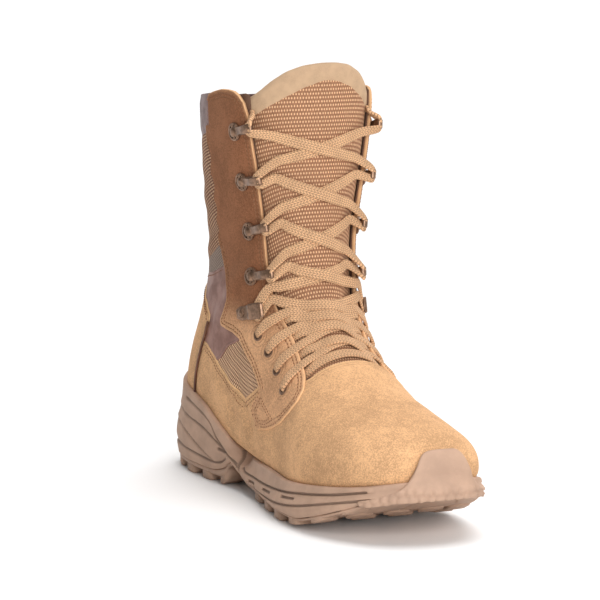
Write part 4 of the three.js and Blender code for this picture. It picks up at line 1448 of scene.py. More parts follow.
class BOOT_OT_tongue(bpy.types.Operator):
    """Make the padded tongue and the binding over its top"""

    bl_idname = "boot.tongue"
    bl_label = "Tongue"

    def execute(self, context):
        edges = []
        for side in (-1, 1):
            at = np.linspace(6.7, 20.1, 50)
            edges.append([(a, side * float(tongue_half(a))) for a in at])
        top_girths = np.linspace(-float(tongue_half(20.1)) + 1, float(tongue_half(20.1)) - 1, 61)
        top = tongue_top(top_girths)
        outline = [*edges[0], *zip(top, top_girths), *edges[1][::-1]]

        def under(at, girth, distance):
            return -TONGUE_THICK / 2 - (TONGUE_THICK / 2) * smooth(0, 4, distance)

        def cloth(at, girth):
            return np.stack([girth, np.interp(at, STATIONS, FRONT_LENGTH)], 1)

        piece = panel("tongue_pad", tongue_skin, outline, under, 0.0, step=1.6, rim=TONGUE_EDGE,
                      cloth=cloth)
        finish_piece(piece, "tongue_cloth", ["tongue"])
        high = context.scene.boot_sizes.binding_height / MM
        rise = high / 19.0
        wide = np.linspace(-float(tongue_half(20.1)) - 0.7, float(tongue_half(20.1)) + 0.7, 61)
        crest = tongue_top(np.clip(wide, top_girths[0], top_girths[-1])) + 0.07
        low = crest - rise
        outline = [*zip(crest, wide), *zip(low[::-1], wide[::-1])]

        def inner(at, girth, distance):
            return -TONGUE_THICK / 2 - (TONGUE_THICK / 2 + 0.7) * smooth(0, 4, distance)

        piece = panel("tongue_binding", tongue_skin, outline, inner, 0.75, step=1.5,
                      rim=((0.0, 2.9), (0.6, 1.5), (1.7, 0.5), (3.2, 0.0)), soften=4)
        finish_piece(piece, "binding_cloth")
        return {"FINISHED"}


# ---- hardware ----


def applied(modifier_type, **settings):
    """Adds a modifier to the active piece and applies it."""
    obj = bpy.context.object
    modifier = obj.modifiers.new(modifier_type.title(), modifier_type)
    for key, value in settings.items():
        setattr(modifier, key, value)
    bpy.ops.object.modifier_apply(modifier=modifier.name)
    return obj


def rounded_disc(radius, depth, z, bevel):
    """A flat disc with its edges rounded."""
    bpy.ops.mesh.primitive_cylinder_add(vertices=40, radius=radius * MM, depth=depth * MM,
                                        location=(0, 0, (z + depth / 2) * MM))
    bpy.ops.object.transform_apply(location=True)
    return applied("BEVEL", width=bevel * MM, segments=2, limit_method="ANGLE", angle_limit=math.radians(40))


def rivet_cap(radius, height, z):
    bpy.ops.mesh.primitive_uv_sphere_add(segments=28, ring_count=14, radius=radius * MM,
                                         location=(0, 0, z * MM))
    bpy.ops.transform.resize(value=(1, 1, height / radius))
    bpy.ops.object.transform_apply(location=True, scale=True)
    bpy.ops.object.shade_smooth()
    return bpy.context.object


def strap(name, path, widths, thick):
    """A strap bent in the plane of X and Z."""
    path = np.array([(x, 0, z) for x, z in path], float)
    line = through(path, 6)
    wide = np.interp(np.linspace(0, 1, len(line)), np.linspace(0, 1, len(widths)), widths)
    ahead = np.gradient(line, axis=0)
    return ribbon(name, line, np.cross(ahead, (0, 1, 0)), wide, thick, 16, 0.3)


def make_eyelet():
    bpy.ops.mesh.primitive_torus_add(major_segments=40, minor_segments=12, major_radius=2.85 * MM,
                                     minor_radius=0.85 * MM)
    bpy.ops.transform.resize(value=(1, 1, 0.62))
    bpy.ops.object.transform_apply(scale=True)
    bpy.ops.object.shade_smooth()
    ring = bpy.context.object
    bpy.ops.mesh.primitive_cylinder_add(vertices=40, radius=2.2 * MM, depth=3.4 * MM,
                                        end_fill_type="NOTHING", location=(0, 0, -1.5 * MM))
    bpy.ops.object.transform_apply(location=True)
    barrel = applied("SOLIDIFY", thickness=0.3 * MM, offset=1)
    return join("eyelet", [ring, barrel])


def make_loop():
    """One lace loop: its riveted disc, and the strap bent round for the lace."""
    disc = rounded_disc(5.6, 1.3, 0, 0.35)
    pits = []
    for angle in (75, 125, 180, 235, 285):
        turn = math.radians(angle)
        spot = (3.85 * MM * math.cos(turn), 3.85 * MM * math.sin(turn), 1.4 * MM)
        bpy.ops.mesh.primitive_cylinder_add(vertices=14, radius=0.55 * MM, depth=2 * MM, location=spot)
        pits.append(bpy.context.object)
    pit = join("pits", pits)
    bpy.context.view_layer.objects.active = disc
    applied("BOOLEAN", operation="DIFFERENCE", object=pit, solver="EXACT")
    bpy.data.objects.remove(pit)
    cap = rivet_cap(3.0, 1.2, 1.6)
    bpy.ops.mesh.primitive_torus_add(major_segments=40, minor_segments=8, major_radius=4.6 * MM,
                                     minor_radius=0.42 * MM, location=(0, 0, 1.25 * MM))
    bpy.ops.object.transform_apply(location=True)
    bpy.ops.object.shade_smooth()
    lip = bpy.context.object
    path = ((2, 0.55), (10, 0.5), (17.8, 0.55), (20.4, 1.5), (20.9, 2.6), (20.2, 3.8), (17.8, 4.6),
            (13.0, 4.4), (8, 2.8), (4, 1.7), (0, 1.55))
    arm = strap("arm", path, (5.6, 5.6, 5.9, 5.9, 5.4, 4.4, 4.6, 6.4), 0.85)
    return join("loop", [disc, cap, lip, arm])


def make_lock():
    """One lace lock: its foot, and the plate that pinches the lace."""
    foot = rounded_disc(4.4, 1, 0, 0.3)
    path = ((-4.4, 0.95), (-2, 0.95), (2, 0.95), (5.6, 1.05), (7.4, 2.0), (9.2, 3.05), (12, 3.2),
            (18.4, 3.2), (20.2, 2.7), (20.9, 1.3))
    plate = strap("plate", path, (5.5, 8.2, 8.6, 8.8, 9.6, 9.8, 9.8, 9.2), 1.05)
    cap = rivet_cap(2.6, 1.2, 1.5)
    return join("lock", [foot, plate, cap])


def set_out(name, kind, pattern, lift):
    """Copies of a piece of hardware at its rows on both sides, as one mesh."""
    copies, nodes = [], []
    for row, (what, at, back) in enumerate(LACING):
        if what != kind:
            continue
        for label, side in SIDES.items():
            rise = loop_rise(kind, at)
            spot = frame_at(at, side * (float(throat_at(at)) + back), lift, -side, rise)
            spot[:3, 3] *= MM
            copy = pattern.copy()
            copy.data = pattern.data.copy()
            copy.data.transform(Matrix(spot.tolist()))
            bpy.context.scene.collection.objects.link(copy)
            copies.append(copy)
            nodes.append(f"{kind}_{label}_{row + 1}")
    bpy.data.objects.remove(pattern)
    return finish_piece(join(name, copies), "hardware_metal", nodes)


class BOOT_OT_hardware(bpy.types.Operator):
    """Make the eyelets, the lace locks and the lace loops"""

    bl_idname = "boot.hardware"
    bl_label = "Hardware"

    def execute(self, context):
        set_out("eyelets", "eyelet", make_eyelet(), 0.7)
        set_out("lace_locks", "lock", make_lock(), 0.5)
        set_out("lace_loops", "loop", make_loop(), 0.5)
        return {"FINISHED"}


# ---- lace ----

LACE_REST = 1.15  # clearance of the lace's middle over the tongue
LACE_CROSS = 1.9  # how far the upper strand rises over the lower one


def lace_rest(at, girth, level=0.0):
    """Height over the form at which the lace lies on the tongue or bridges to the facings."""
    half = float(throat_at(max(at, 7.6)))
    on_tongue = float(tongue_lift(at, girth)) + LACE_REST
    edge = 0.9 + 1.7 * level
    return on_tongue + (edge - on_tongue) * float(smooth(half * (0.72 - 0.3 * level), half, abs(girth)))


def strand(low, high, side, over, first, last):
    """Points of one crossing, from a side of a row to the other side of the next row."""
    points = []
    start, end = side * first, -side * last
    level = float(smooth(9.0, 12.5, low))  # how nearly the strand runs straight, not round the form
    foot, head = (float(skin(low, start)[2]), float(skin(high, end)[2]))
    for share in (0.06, 0.18, 0.32, 0.42, 0.5, 0.58, 0.68, 0.82, 0.94):
        at = low + (high - low) * share
        girth = start + (end - start) * share
        for _ in range(3):
            slope = float(skin(at + 0.1, girth)[2] - skin(at - 0.1, girth)[2]) / 0.2
            at += level * 0.9 * (foot + (head - foot) * share - float(skin(at, girth)[2])) / slope
        bump = LACE_CROSS * math.exp(-((girth / 9) ** 2)) if over else 0
        lift = lace_rest(at, girth, level) + bump
        points.append((at, girth, lift, 8 - 1.4 * smooth(0.3, 0.0, min(share, 1 - share)), 1.0))
    return points


def lace_half(side):
    """Half of the lace, from the middle of the bar to the top: places, directions out, sizes."""
    rows = [(kind, at, float(throat_at(at)), back) for kind, at, back in LACING]
    kind, at, half, back = rows[0]
    path = [(at - 0.12, 0.0, float(tongue_lift(at, 0)) + LACE_REST, 8.0, 1.0)]
    for share in (0.35, 0.7):
        path.append((at - 0.12, side * half * share, lace_rest(at, half * share), 8.0, 1.0))
    path += [(at - 0.1, side * (half + 3), -3.0, 7.0, 1.0)]
    path += [(at - 0.06, side * (half + back - 5), -3.6, 5.5, 1.0)]
    for row, (kind, at, half, back) in enumerate(rows):
        hole = side * (half + back)
        if kind == "eyelet":
            path += [(at, hole - side * 0.7, -3.0, 4.0, 1.5), (at, hole, -0.8, 3.6, 1.6)]
            path += [(at, hole - side * 0.8, 1.5, 4.2, 1.6), (at + 0.03, hole - side * 4.2, 2.2, 6.6, 1.2)]
            path += [(at + 0.1, side * (half + back * 0.45), 1.75, 8.0, 1.0)]
        else:
            reach = 17.6 if kind == "loop" else 14.6
            lift = 0.5 + (2.6 if kind == "loop" else 1.5)
            spot = frame_at(at, hole, lift, -side, loop_rise(kind, at))
            wide, thick = (5.0, 1.3) if kind == "loop" else (7.6, 1.0)
            for move, squeeze in ((-2.9, 0.75), (0, 1), (2.9, 0.75)):
                lean = 0.6 * abs(move)
                here = spot[:3, 3] + spot[:3, 0] * (reach + lean) + spot[:3, 1] * move * -side
                width = 8 + (wide - 8) * squeeze
                path.append((here, spot[:3, 2], width, 1 + (thick - 1) * squeeze))
        if row + 1 == len(rows):
            break
        following, high, high_half, high_back = rows[row + 1]
        first = half - 1 if kind == "eyelet" else half + back - 22.5
        last = high_half - 2 if following == "eyelet" else high_half + high_back - 22.5
        low_at = at + (0.16 if kind == "eyelet" else 0.24)
        high_at = high - (0.12 if following == "eyelet" else 0.24)
        path += strand(low_at, high_at, side, side > 0, first, last)
        side = -side
        if following == "eyelet":
            path += [(high - 0.08, side * (high_half + 4), -2.9, 7.0, 1.0)]
            path += [(high - 0.03, side * (high_half + high_back - 5), -3.5, 5.0, 1.2)]
    path += [(at + 0.3, side * (half - 1.5), 0.9, 4.6, 1.3)]
    path += [(at + 0.42, side * (half + 0.5), -2.0, 5.0, 1.0)]
    path += [(at + 0.46, side * (half + 5), -3.2, 5.0, 1.0)]
    points = []
    for entry in path:
        if len(entry) == 5:
            place = skin(entry[0], entry[1], entry[2])
            out = skin(entry[0], entry[1], entry[2] + 1) - place
            points.append((*place, *out, entry[3], entry[4]))
        else:
            points.append((*entry[0], *entry[1], *entry[2:]))
    return np.array(points)


class BOOT_OT_lace(bpy.types.Operator):
    """Run one flat lace through the eyelets, the locks and the loops"""

    bl_idname = "boot.lace"
    bl_label = "Lace"

    def execute(self, context):
        sizes = context.scene.boot_sizes
        line = through(np.vstack([lace_half(-1)[:0:-1], lace_half(1)]), 8)
        width = line[:, 6] * (sizes.lace_width / MM / 8)
        thick = line[:, 7] * (sizes.lace_thickness / MM)
        piece = ribbon("lace", line[:, :3], line[:, 3:6], width, thick, 14, 0.3)
        nodes = [f"lace_crossing_{i + 1}" for i in range(len(LACING) - 1)] + ["lace_bar"]
        finish_piece(piece, "lace_braid", nodes)
        return {"FINISHED"}


# ---- the sole ----

RIM = 2.8  # thickness of the sole's side wall at its top edge
FLARE = 2.2  # how far the side wall bulges past the outline
TREAD = 5.0  # depth of the lugs
PLATE = 3.5  # least thickness of the outsole
TOE_TOP = 55.0  # height of the toe bumper


def outline_curve(count):
    """The sole's outline as points and outward directions, evenly spread round it."""
    rows = [np.array(row, float) for row in OUTLINE]
    loop = [(x, -outer) for x, outer, _ in rows] + [(x, inner) for x, _, inner in rows[1:-1][::-1]]
    loop = np.array(loop)
    dense = []
    steps = np.linspace(0, 1, 40, endpoint=False)[:, None]
    for i in range(len(loop)):
        p = [loop[(i + k) % len(loop)] for k in (-1, 0, 1, 2)]
        d = [max(1e-4, np.linalg.norm(p[k + 1] - p[k]) ** 0.5) for k in range(3)]
        t1 = (p[1] - p[0]) / d[0] - (p[2] - p[0]) / (d[0] + d[1]) + (p[2] - p[1]) / d[1]
        t2 = (p[2] - p[1]) / d[1] - (p[3] - p[1]) / (d[1] + d[2]) + (p[3] - p[2]) / d[2]
        t1, t2 = t1 * d[1], t2 * d[1]
        a, b = -3 * p[1] + 3 * p[2] - 2 * t1 - t2, 2 * p[1] - 2 * p[2] + t1 + t2
        dense.append(p[1] + t1 * steps + a * steps**2 + b * steps**3)
    dense = np.vstack(dense)
    closed = np.vstack([dense, dense[:1]])
    gone = length_along(closed)
    spots = np.linspace(0, gone[-1], count, endpoint=False)
    points = np.stack([np.interp(spots, gone, closed[:, k]) for k in (0, 1)], 1)
    ahead = np.roll(points, -1, 0) - np.roll(points, 1, 0)
    ahead /= np.linalg.norm(ahead, axis=1)[:, None]
    return points, np.stack([ahead[:, 1], -ahead[:, 0]], 1), gone[-1]


COLUMNS = 900
EDGE_POINTS, EDGE_OUT, EDGE_LENGTH = outline_curve(COLUMNS)


def form_tree():
    """The upper's form as a closed surface to measure against."""
    at = np.linspace(0, 21, 90)
    angles = np.linspace(0, math.pi, 50)
    rings = np.concatenate([form(at[:, None], angles, -1), form(at[:, None], angles[::-1], 1)], 1)
    count = rings.shape[1]
    faces = ring_faces(len(at), count)
    faces.append(list(range(count)))
    return BVHTree.FromPolygons(rings.reshape(-1, 3).tolist(), faces)


FORM_TREE = form_tree()


def hug(columns, heights):
    """How far the form reaches past the outline at each column, at its height."""
    far = 40.0
    reach = []
    for i, z in zip(columns, heights):
        out = EDGE_OUT[i]
        start = Vector((*(EDGE_POINTS[i] + out * far), z))
        hit = FORM_TREE.ray_cast(start, Vector((-out[0], -out[1], 0)))
        reach.append(far - hit[3] if hit[0] is not None else -12.0)
    return np.array(reach)


def wall_grid(bottom, top, shares):
    """The side wall's outer surface: rows of points from its foot to its top edge."""
    x = EDGE_POINTS[:, 0]
    low, high = bottom(x), top(x)
    every = np.arange(COLUMNS)
    crest = hug(every, high) + RIM
    reaches, heights = [], []
    for share in shares:
        z = low + (high - low) * share
        lean = share**1.6
        swell = FLARE * math.sin(math.pi * min(1, share * 1.5))
        free = (1 - lean) * swell + lean * crest
        reaches.append(np.maximum(free, hug(every, z) + RIM))
        heights.append(z)
    reaches = np.array(reaches)
    for _ in range(6):  # even out the folds where the wall starts to follow the upper
        reaches = (np.roll(reaches, 2, 1) + reaches + np.roll(reaches, -2, 1)) / 3
        reaches[1:-1] = (reaches[:-2] + reaches[1:-1] + reaches[2:]) / 3
    places = EDGE_POINTS[None] + EDGE_OUT[None] * reaches[..., None]
    return np.concatenate([places, np.array(heights)[..., None]], 2)


def loft(name, rows, edge=None, caps=()):
    """A closed skin over rows of points that each go round."""
    rows = np.asarray(rows)
    count = rows.shape[1]
    faces = ring_faces(len(rows), count)
    if "ring" in caps:
        last = (len(rows) - 1) * count
        faces += [[last + c, last + (c + 1) % count, (c + 1) % count, c] for c in range(count)]
    if "ends" in caps:
        faces.append(list(range(count))[::-1])
        faces.append([(len(rows) - 1) * count + c for c in range(count)])
    edge = None if edge is None else np.asarray(edge).ravel()
    return turn_outward(new_mesh(name, rows.reshape(-1, 3), faces, edge=edge))


def line_gap(x, z, line):
    """Distance of places on the side wall from a line of (x, z), and whether they lie above it."""
    gap = np.full(np.shape(x), 1e9)
    above = np.zeros(np.shape(x), bool)
    line = through(line, 5)
    for (x0, z0), (x1, z1) in zip(line, line[1:]):
        way = np.array((x1 - x0, z1 - z0), float)
        share = np.clip(((x - x0) * way[0] + (z - z0) * way[1]) / (way @ way), 0, 1)
        here = np.hypot(x - x0 - share * way[0], z - z0 - share * way[1])
        above = np.where(here < gap, way[0] * (z - z0) - way[1] * (x - x0) > 0, above)
        gap = np.minimum(gap, here)
    return gap, above


# Lines moulded into the side wall, the same on both sides: how wide and how deep each groove is,
# how far the wall stands up along its upper side, and its line as (x, z).
GROOVES = (
    (1.3, 1.2, 0.5, ((-8, 47.8), (-2.7, 47.1), (12, 44.3), (25, 41.3), (34.5, 37.1), (40.3, 31.1),
                     (54, 23.3), (68, 17.4))),
    (1.3, 1.1, 0.5, ((-58, 41.5), (-30, 40.5), (-6, 36.9), (20, 33.5), (37.4, 28.8), (55.7, 22.2),
                     (69, 16))),
    (1.3, 1.0, 0.5, ((-58, 32), (-30, 31.5), (-4.4, 27), (12.5, 22.2), (32.7, 16.1), (38, 14))),
    (1.4, 1.0, -0.6, ((-58, 17), (-22, 16.2), (22, 14.3), (36.7, 13.9), (47, 15.2), (54, 18.5))),
    (1.6, 1.4, 0.0, ((44.5, 23.4), (53, 22.6))),
    (1.5, 1.2, 0.0, ((63, 28), (66, 23.5), (68.5, 19.5), (73, 13), (78, 6))),
    (1.4, 1.3, 0.6, ((75, 16.3), (88.5, 14.9), (127, 16.3), (155, 18.3), (180, 21.2), (214, 25.9),
                     (236, 30.2))),
    (1.4, 1.2, 0.4, ((80, 11.5), (90, 8.2), (124, 9.6), (159, 11.6), (185, 14.8), (216, 21.2),
                     (240, 26.4))),
    (1.5, 1.5, 0.0, ((91, 11.6), (103, 12), (104, 9.6))),
    (1.4, 1.4, 0.0, ((126, 13.4), (142, 14.2))),
    (1.4, 1.4, 0.0, ((163, 16), (180, 17.8))),
)


class BOOT_OT_midsole(bpy.types.Operator):
    """Make the midsole's side wall with its moulded grooves"""

    bl_idname = "boot.midsole"
    bl_label = "Midsole"

    def execute(self, context):

        def foot(x):
            return height_at("plate", x) - 1.5

        def top(x):
            return height_at("wall", x)

        shares = np.linspace(0, 1, 52)
        wall = wall_grid(foot, top, shares)
        out = np.concatenate([EDGE_OUT, np.zeros((COLUMNS, 1))], 1)
        x, z = wall[..., 0], wall[..., 2]
        depth = np.zeros(x.shape)
        lips = np.zeros(x.shape)
        for wide, deep, lip, line in GROOVES:
            gap, above = line_gap(x, z, line)
            depth = np.maximum(depth, deep * smooth(wide * 0.75, wide * 0.2, gap))
            lips += lip * smooth(5.5, 0.6, gap) * above
        wall = wall + out[None] * (lips - depth)[..., None]
        crown = wall[-1].copy()
        rim = []
        for share, rise in ((0.25, 0.5), (0.55, 0.7), (0.85, 0.4)):
            row = crown - out * (RIM + 0.9) * share
            row[:, 2] += rise
            rim.append(row)
        inside = []
        for share in (1.0, 0.5, 0.0):
            z_in = foot(EDGE_POINTS[:, 0]) + (top(EDGE_POINTS[:, 0]) - foot(EDGE_POINTS[:, 0])) * share
            reach = hug(np.arange(COLUMNS), z_in) - 1.2
            reach = np.minimum(reach, -4.0) if share == 0 else reach
            inside.append(np.concatenate([EDGE_POINTS + EDGE_OUT * reach[:, None], z_in[:, None]], 1))
        rows = [*wall, *rim, *inside]
        edge = np.zeros((len(rows), COLUMNS))
        # The groove depth, which the foam's finish paints as shade.
        edge[: len(wall)] = depth
        piece = loft("midsole_wall", rows, edge, ("ring",))
        finish_piece(piece, "midsole_foam", ["midsole"])
        return {"FINISHED"}


def lug(x, y, long, wide, turn):
    """One lug: a block with its corners cut and its ground edge bevelled."""
    a, b, cut = long / 2, wide / 2, 2.0
    corners = np.array([(-a, -b + cut), (-a + cut, -b), (a - cut, -b), (a, -b + cut), (a, b - cut),
                        (a - cut, b), (-a + cut, b), (-a, b - cut)])
    c, s = math.cos(turn), math.sin(turn)
    plan = lambda k: np.stack([x + c * k[:, 0] - s * k[:, 1], y + s * k[:, 0] + c * k[:, 1]], 1)
    rows = []
    for inset, lift in ((1.6, 0.0), (0.7, 0.15), (0.0, 0.9), (0.0, TREAD + 1.5)):
        shape = plan(corners * (1 - inset / max(a, b)))
        ground = np.maximum(0, height_at("ground", shape[:, 0]))
        rows.append(np.concatenate([shape, (ground + lift)[:, None]], 1))
    return loft("lug", rows, caps=("ends",))


def lug_plans():
    """Where the lugs are, their sizes and how far each is turned."""
    plans = [(0, 0, 16, 14, 0)]
    every = np.arange(28) * COLUMNS // 28
    for point, out in zip(EDGE_POINTS[every], EDGE_OUT[every]):
        if 48 < point[0] < 92:
            continue
        x, y = point - out * 7.9
        plans.append((x, y, 13.4, 13, math.atan2(out[1], out[0])))
    plans += [(x, 0, 10, 18, 0) for x in (-22, 22)]
    for i, x in enumerate((108, 128, 148, 168, 188, 208)):
        plans += [(x, y, 11, 15, 0.35 if i % 2 else -0.35) for y in ((-24, 0, 22) if i % 2 else (-12, 12))]
    return plans


# The toe bumper's edge as (y, height), from the outer foot over the top to the inner foot.
BUMPER = (
    (-40, 24), (-31, 27), (-23, 30.2), (-16.5, 34), (-12, 39.5), (-9, 45.5), (-6.5, 50.6), (-3, 53.2),
    (4, 54), (12, 54), (18.5, 53.6), (22, 52), (23.8, 48.5), (24.8, 43.4), (27.5, 36), (32, 29.5), (38, 25),
)


class ToeSurface:
    """The toe's outside as far up as the bumper, by distance round the outline and height."""

    def __init__(self):
        self.shares = np.linspace(0, 1, 60)
        self.foot = lambda x: height_at("plate", x) - 5
        self.top = TOE_TOP + 2
        self.rows = wall_grid(self.foot, lambda x: np.full(np.shape(x), self.top), self.shares)

    def round_at(self, y):
        """The distance round the outline at a place across the toe."""
        toe = EDGE_POINTS[:, 0] > 205
        spots = np.flatnonzero(toe) * EDGE_LENGTH / COLUMNS
        return np.interp(y, EDGE_POINTS[toe, 1], spots)

    def __call__(self, gone, z, lift=0.0):
        gone, z, lift = np.broadcast_arrays(*[np.asarray(v, float) for v in (gone, z, lift)])
        col = np.clip(gone / EDGE_LENGTH * COLUMNS, 1, COLUMNS - 2)
        i = col.astype(int)
        k = (col - i)[..., None]
        x = EDGE_POINTS[i, 0] * (1 - k[..., 0]) + EDGE_POINTS[i + 1, 0] * k[..., 0]
        low = self.foot(x)
        row = np.clip((z - low) / (self.top - low), 0, 0.999) * (len(self.shares) - 1)
        j = row.astype(int)
        m = (row - j)[..., None]
        near = self.rows[j, i] * (1 - k) + self.rows[j, i + 1] * k
        far = self.rows[j + 1, i] * (1 - k) + self.rows[j + 1, i + 1] * k
        point = near * (1 - m) + far * m
        up = far - near
        out = np.concatenate([EDGE_OUT[i], np.zeros((*i.shape, 1))], -1)
        out = out - up * ((out * up).sum(-1) / np.maximum((up * up).sum(-1), 1e-9))[..., None]
        out /= np.maximum(np.linalg.norm(out, axis=-1), 1e-9)[..., None]
        return point + out * lift[..., None]


def toe_bumper():
    """The rounded shield over the toe, with small climbing lugs along its foot."""
    toe = ToeSurface()
    crest = through(BUMPER, 6)
    crest = np.stack([toe.round_at(crest[:, 0]), crest[:, 1]], 1)
    foot_y = np.linspace(36, -32, 40)
    gone = toe.round_at(foot_y)
    x = np.interp(gone * COLUMNS / EDGE_LENGTH, np.arange(COLUMNS), EDGE_POINTS[:, 0])
    foot = np.stack([gone, height_at("plate", x) - 3.6], 1)

    def over(a, z, distance):
        row = (z - 20.4) / 4.6
        col = a / 5.4 + 0.4 * np.floor(row) + 0.12 * np.sin(a * 0.9)
        block = smooth(0.5, 0.3, np.abs(row % 1 - 0.5)) * smooth(0.5, 0.26, np.abs(col % 1 - 0.5))
        return 1.2 + 1.1 * block * smooth(34.5, 31.5, z)

    piece = panel("toe_bumper", toe, [*crest, *foot], -3.4, over, step=0.9,
                  rim=((0.0, 0.9), (0.3, 0.4), (0.9, 0.0)), soften=1.5)
    # No painted groove shade on the bumper: its distances from the edge are cleared.
    piece.data.attributes["edge"].data.foreach_set("value", np.zeros(len(piece.data.vertices), np.float32))
    return piece


class BOOT_OT_outsole(bpy.types.Operator):
    """Make the outsole, its lugs and the toe bumper"""

    bl_idname = "boot.outsole"
    bl_label = "Outsole"

    def execute(self, context):
        x = EDGE_POINTS[:, 0]
        plate = height_at("plate", x)
        ground = np.maximum(0, height_at("ground", x))
        base = np.minimum(ground + TREAD, plate - PLATE)
        rows = []
        for inset, z in ((6.0, base), (1.8, base), (1.0, base + 0.6), (0.8, plate - 2.2), (1.3, plate - 1.8),
                         (4.0, plate - 1.8)):
            rows.append(np.concatenate([EDGE_POINTS - EDGE_OUT * inset, z[:, None]], 1))
        middle = [rows[0].mean(0) + (rows[0] - rows[0].mean(0)) * (1, k, 1) for k in (0.5, 0.02)]
        for row in middle:
            row[:, 2] = np.minimum(np.maximum(0, height_at("ground", row[:, 0])) + TREAD,
                                   height_at("plate", row[:, 0]) - PLATE)
        roof = [row.copy() for row in middle]
        for row in roof:
            row[:, 2] = height_at("plate", row[:, 0])
        skin_rows = [middle[1], middle[0], *rows, roof[0], roof[1]]
        made = [loft("plate", skin_rows, caps=("ring",))]
        made += [lug(*plan) for plan in lug_plans()]
        made.append(toe_bumper())
        piece = join("outsole_tread", made)
        finish_piece(piece, "outsole_rubber", ["outsole"])
        return {"FINISHED"}


MIDDLE = (0.103, 0, 0.13)  # the place the camera and the lamps look at, in metres
VIEW = {"turn": 65.6, "rise": 7.8, "away": 1.9, "lens": 188.3, "shift": (-0.0363, -0.023)}


class BOOT_OT_stage(bpy.types.Operator):
    """Set the boot on a pale floor under soft studio light, with a camera"""

    bl_idname = "boot.stage"
    bl_label = "Studio"

    def execute(self, context):
        scene = context.scene
        bpy.ops.mesh.primitive_plane_add(size=scene.boot_sizes.floor_size)
        floor = context.object
        floor.name = "floor"
        made = Finish("floor_pale", rough=0.95, level=0.1)
        speck = noise(made.tree, made.place, 2.0, 2.0)
        made.link("Base Color", mix(made.tree, speck, opaque((0.9, 0.9, 0.9)), opaque((0.93, 0.93, 0.93))))
        floor.data.materials.append(made.material)
        turn, rise = math.radians(VIEW["turn"]), math.radians(VIEW["rise"])
        away = Vector((math.sin(turn) * math.cos(rise), -math.cos(turn) * math.cos(rise), math.sin(rise)))
        world = bpy.data.worlds.new("studio")
        world.use_nodes = True
        tree = world.node_tree
        way = add(tree, "ShaderNodeTexCoord").outputs["Generated"]
        behind = add(tree, "ShaderNodeVectorMath", {0: way, 1: -away}, operation="DOT_PRODUCT")
        bright = ramp(tree, behind.outputs["Value"], 0.2, 0.8, 0.0, 0.78)
        beside = add(tree, "ShaderNodeVectorMath", {0: way, 1: (0.1, 0.95, 0.3)}, operation="DOT_PRODUCT")
        soft = ramp(tree, beside.outputs["Value"], -0.6, 0.8, 0.26, 0.5)
        strength = calc(tree, "ADD", bright, soft)
        tree.links.new(strength, tree.nodes["Background"].inputs["Strength"])
        tree.nodes["Background"].inputs["Color"].default_value = (1, 1, 1, 1)
        scene.world = world
        middle = Vector(MIDDLE)
        sun = bpy.data.lights.new("ceiling", "SUN")
        sun.energy, sun.angle = 2.1, math.radians(50)
        key = bpy.data.lights.new("key", "AREA")
        key.energy, key.size = 21, 0.9
        for light, spot in ((sun, (0.1, 0.25, 2.0)), (key, (1.75, -0.15, 0.62))):
            lamp = bpy.data.objects.new(light.name, light)
            lamp.location = spot
            lamp.rotation_euler = (middle - lamp.location).to_track_quat("-Z", "Y").to_euler()
            scene.collection.objects.link(lamp)
        data = bpy.data.cameras.new("view")
        data.lens, data.sensor_width = VIEW["lens"], 36
        data.shift_x, data.shift_y = VIEW["shift"]
        camera = bpy.data.objects.new("view", data)
        camera.location = middle + away * VIEW["away"]
        camera.rotation_euler = (-away).to_track_quat("-Z", "Y").to_euler()
        scene.collection.objects.link(camera)
        scene.camera = camera
        scene.view_settings.view_transform = "Standard"
        return {"FINISHED"}


class BOOT_OT_insole(bpy.types.Operator):
    """Give the insole its finish"""

    bl_idname = "boot.insole"
    bl_label = "Insole"

    def execute(self, context):
        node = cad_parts["insole"]
        node.data.materials.clear()
        node.data.materials.append(bpy.data.materials["lining_cloth"])
        return {"FINISHED"}


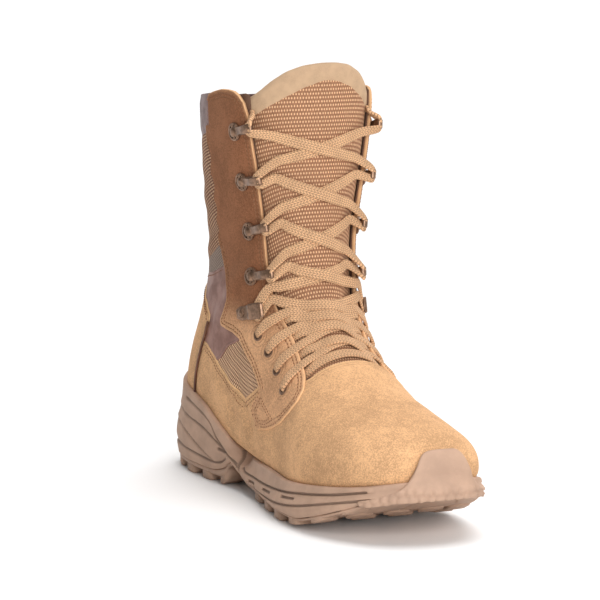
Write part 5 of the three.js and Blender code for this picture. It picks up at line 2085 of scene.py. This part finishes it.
class BOOT_OT_stitches(bpy.types.Operator):
    """Sew the rows along the upper's seams"""

    bl_idname = "boot.stitches"
    bl_label = "Stitches"

    def execute(self, context):
        sizes = context.scene.boot_sizes
        pitch, width = sizes.stitch_pitch / MM, sizes.thread_width / MM
        facing, quarter, leather = [], [], []
        for side in (-1, 1):
            edge = mirrored(FACING, side)
            for inset in (2.3, 4.6):
                facing += clipped(inset_line(edge, skin, inset), lambda at, g: at > 9.35 or abs(g) < 62)
            facing += clipped(inset_line(edge, skin, 1.5), lambda at, g: at <= 9.3 and abs(g) >= 64)
            for inset in (3.4, 5.4):
                facing += inset_line(mirrored(TAB_BOX, side), skin, inset - 2)
            loop = [*mirrored(QUARTER_TOP, side), *lower_edge(side, 12.2, 0.35, 7, 24)]
            for inset in (2.8, 5.0):
                seam = inset_line(loop, skin, inset)
                quarter += clipped(seam, lambda at, g: 9.2 < at < 13.4 and 62 < abs(g) < 123)
            seam = inset_line(mirrored(ANKLE, side), skin, 2.2)
            leather += clipped(seam, lambda at, g: at > 15.4 and abs(g) > 86)
        stitch_rows("facing_stitches", facing, skin, 0.45, pitch, width, "brown_thread")
        stitch_rows("quarter_stitches", quarter, skin, -0.5, pitch, width, "brown_thread")
        stitch_rows("ankle_stitches", leather, skin, -0.65, pitch, width, "brown_thread")
        heel = []
        outline = []
        for side in (-1, 1):
            rows = from_heel([*COUNTER_TOP, *PIPING[1:]], side)
            rows = [(16.5, side * 0.2), *rows, (12.3, side * 0.2)]
            outline += rows if side < 0 else rows[::-1]
        for inset in (2.4, 4.6):
            heel += clipped(inset_line(outline, skin_back, inset), lambda at, g: at > 13.9)
        for side in (-1, 1):
            for across in (4.2, 6.0):
                line = [(at, side * (across + 0.4 * (17 - at))) for at in np.linspace(14, 19.4, 30)]
                heel.append(np.array(line))
            heel.append(np.array([(19.9, side * a) for a in np.linspace(8, 84, 60)]))
        stitch_rows("heel_stitches", heel, skin_back, 0.15, pitch, width, "brown_thread")
        return {"FINISHED"}


STEPS = (
    BOOT_OT_finishes, BOOT_OT_stage, BOOT_OT_lining, BOOT_OT_cloth, BOOT_OT_ankle, BOOT_OT_quarters,
    BOOT_OT_counter, BOOT_OT_facings, BOOT_OT_tongue, BOOT_OT_hardware, BOOT_OT_lace, BOOT_OT_midsole,
    BOOT_OT_outsole, BOOT_OT_insole, BOOT_OT_stitches,
)


class BOOT_PT_panel(bpy.types.Panel):
    """The boot's pieces, in the order they are made"""

    bl_idname = "BOOT_PT_panel"
    bl_label = "Boot"
    bl_space_type = "VIEW_3D"
    bl_region_type = "UI"
    bl_category = "Boot"

    def draw(self, context):
        for step in STEPS:
            self.layout.operator(step.bl_idname)
        for group in (context.scene.boot_sizes, context.scene.boot_colours):
            for name in group.bl_rna.properties.keys()[2:]:
                self.layout.prop(group, name)


CLASSES = (BootSizes, BootColours, *STEPS, BOOT_PT_panel)


def register():
    for cls in CLASSES:
        bpy.utils.register_class(cls)
    bpy.types.Scene.boot_sizes = PointerProperty(type=BootSizes)
    bpy.types.Scene.boot_colours = PointerProperty(type=BootColours)


def unregister():
    del bpy.types.Scene.boot_sizes, bpy.types.Scene.boot_colours
    for cls in reversed(CLASSES):
        bpy.utils.unregister_class(cls)


def main():
    register()
    for step in STEPS:
        bpy.ops.object.select_all(action="DESELECT")
        family, name = step.bl_idname.split(".")
        getattr(getattr(bpy.ops, family), name)()


if __name__ == "__main__":
    main()
